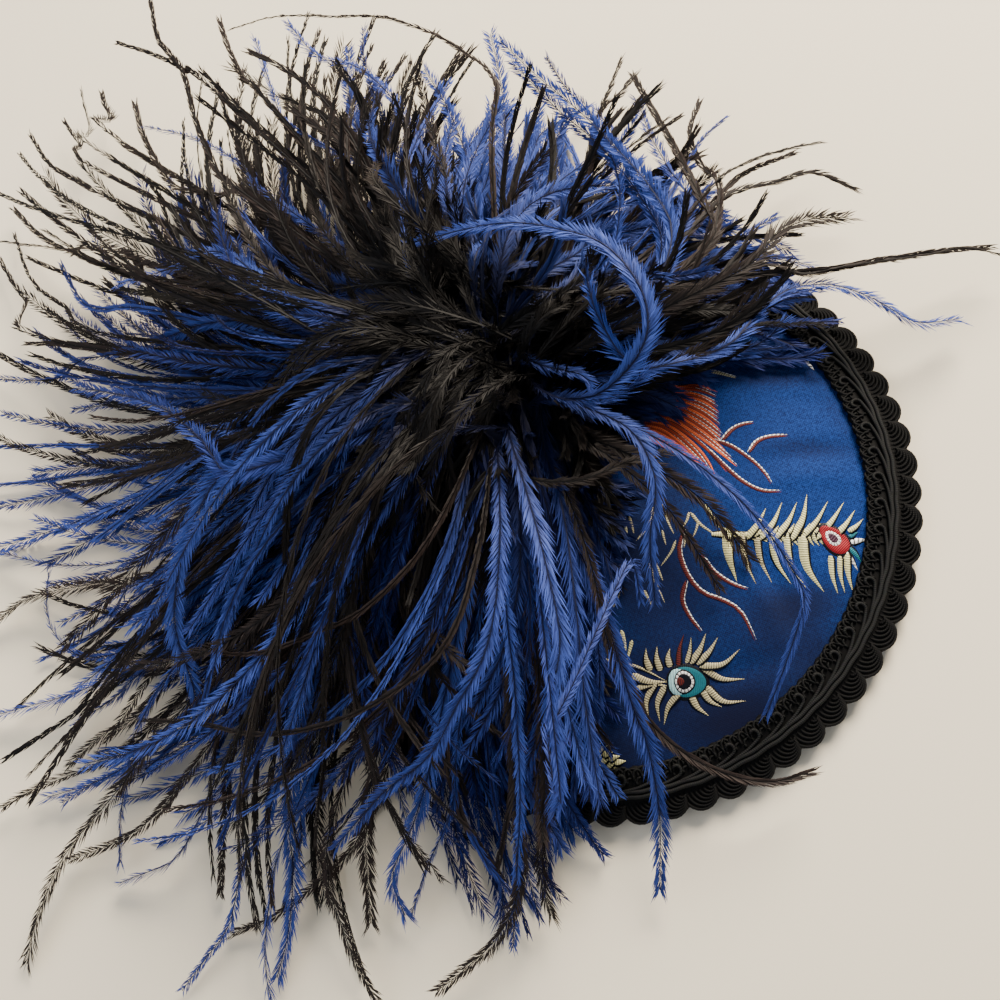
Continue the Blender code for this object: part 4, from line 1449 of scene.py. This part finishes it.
def colour_property(name, description, hex_colour):
    """A colour that the user may change, kept linear."""
    return bpy.props.FloatVectorProperty(
        name=name, description=description, subtype="COLOR", min=0, max=1,
        default=linear(hex_colour)[:3],
    )


def size_property(name, description, default, unit="LENGTH"):
    """A size in metres, or a power in watts, that the user may change."""
    return bpy.props.FloatProperty(
        name=name, description=description, unit=unit, precision=5, min=default / 10, default=default
    )


class BrocadeSettings(bpy.types.PropertyGroup):
    """Weave and colours of the brocade."""

    weave: size_property("Weave", "Width of a float as it is drawn", 0.45 * MM)
    lit: colour_property("Lit blue", "The satin's blue where its floats catch the light", "#1b3f88")
    shade: colour_property("Shaded blue", "The satin's blue between the floats and in folds", "#081d50")


class GimpSettings(bpy.types.PropertyGroup):
    """Cords and colours of the braid."""

    stem_radius: size_property("Stem radius", "Radius of the two cords on top of the braid", 0.52 * MM)
    yarn_turn: size_property("Yarn turn", "Distance between the yarn's turns round a cord", 0.5 * MM)
    # Painted light and shade: lit_stem paints the cords on top lighter, shaded_groove paints the ground
    # between the cords darker
    lit_stem: colour_property("Stem", "The satin cords on top of the braid", "#212223")
    shaded_groove: colour_property("Groove", "The ground between the cords", "#0d0d0e")


class PlumeSettings(bpy.types.PropertyGroup):
    """How the plume falls, and its dyes."""

    flue_length: size_property("Flue length", "Length of a flue that reaches all the way", 150 * MM)
    seed: bpy.props.IntProperty(
        name="Seed", description="Which fall of the flues is drawn", default=7, min=0
    )
    blue: colour_property("Blue dye", "The lit side of the blue flues", "#4a63bd")
    deep_blue: colour_property("Deep blue dye", "The darkest of the blue flues", "#131d60")
    black: colour_property("Black dye", "The lit side of the black flues", "#362c29")
    deep_black: colour_property("Deep black dye", "The darkest of the black flues", "#090707")


class StageSettings(bpy.types.PropertyGroup):
    """The floor and the lights."""

    floor_width: size_property("Floor width", "Side of the square floor", 3.0)
    window_power: size_property("Window power", "Power of the broad light", 29.0, "POWER")
    fill_power: size_property("Fill power", "Power of the light opposite", 5.0, "POWER")
    floor: colour_property("Floor", "The plain floor that the fascinator lies on", "#fbf1da")


GROUPS = (
    ("fascinator_brocade", BrocadeSettings),
    ("fascinator_gimp", GimpSettings),
    ("fascinator_plume", PlumeSettings),
    ("fascinator_stage", StageSettings),
)


class FASCINATOR_OT_stage(bpy.types.Operator):
    """Add the floor, the lights and the camera"""

    bl_idname = "fascinator.stage"
    bl_label = "Stage"

    def execute(self, context):
        build_stage(context.scene.fascinator_stage)
        return {"FINISHED"}


class FASCINATOR_OT_brocade(bpy.types.Operator):
    """Add the brocade cover and its raised metallic feathers"""

    bl_idname = "fascinator.brocade"
    bl_label = "Brocade base"

    def execute(self, context):
        build_brocade(brocade_material(context.scene.fascinator_brocade))
        build_threads(thread_material())
        return {"FINISHED"}


class FASCINATOR_OT_gimp(bpy.types.Operator):
    """Add the scroll gimp braid round the base"""

    bl_idname = "fascinator.gimp"
    bl_label = "Gimp braid"

    def execute(self, context):
        settings = context.scene.fascinator_gimp
        build_braid(gimp_material(settings), settings)
        return {"FINISHED"}


class FASCINATOR_OT_plume(bpy.types.Operator):
    """Add the blue and black ostrich flues"""

    bl_idname = "fascinator.plume"
    bl_label = "Plume"

    def execute(self, context):
        settings = context.scene.fascinator_plume
        # Each dye's second colour is the shaft's and also the painted shade at the root; root_shade_to is
        # where that painted shade ends along the flue
        blue, black = (
            flue_material(f"ostrich_flue_dyed_{dye}", (*deep, 1), (*lit, 1), linear(root), root_shade_to)
            for dye, deep, lit, root, root_shade_to in (
                ("blue", settings.deep_blue, settings.blue, "#050720", 0.42),
                ("black", settings.deep_black, settings.black, "#040304", 0.66),
            )
        )
        build_plume(blue, black, settings)
        return {"FINISHED"}


class FASCINATOR_OT_comb(bpy.types.Operator):
    """Give the comb under the base its plastic"""

    bl_idname = "fascinator.comb"
    bl_label = "Hair comb"

    def execute(self, context):
        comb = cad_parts["hair_comb"]
        comb.data.materials.clear()
        comb.data.materials.append(comb_material())
        return {"FINISHED"}


OPERATORS = (
    FASCINATOR_OT_stage,
    FASCINATOR_OT_brocade,
    FASCINATOR_OT_gimp,
    FASCINATOR_OT_plume,
    FASCINATOR_OT_comb,
)


class FASCINATOR_PT_panel(bpy.types.Panel):
    """Lists the settings and the pieces"""

    bl_idname = "FASCINATOR_PT_panel"
    bl_label = "Feather fascinator"
    bl_space_type = "VIEW_3D"
    bl_region_type = "UI"
    bl_category = "Fascinator"

    def draw(self, context):
        for attribute, group in GROUPS:
            box = self.layout.box()
            for name in group.__annotations__:
                box.prop(getattr(context.scene, attribute), name)
        for operator in OPERATORS:
            self.layout.operator(operator.bl_idname)


def register():
    for attribute, group in GROUPS:
        bpy.utils.register_class(group)
        setattr(bpy.types.Scene, attribute, bpy.props.PointerProperty(type=group))
    for kind in (*OPERATORS, FASCINATOR_PT_panel):
        bpy.utils.register_class(kind)


def unregister():
    for kind in reversed((*OPERATORS, FASCINATOR_PT_panel)):
        bpy.utils.unregister_class(kind)
    for attribute, group in reversed(GROUPS):
        delattr(bpy.types.Scene, attribute)
        bpy.utils.unregister_class(group)


def main():
    register()
    bpy.ops.fascinator.stage()
    bpy.ops.fascinator.brocade()
    bpy.ops.fascinator.gimp()
    bpy.ops.fascinator.plume()
    bpy.ops.fascinator.comb()


if __name__ == "__main__":
    main()
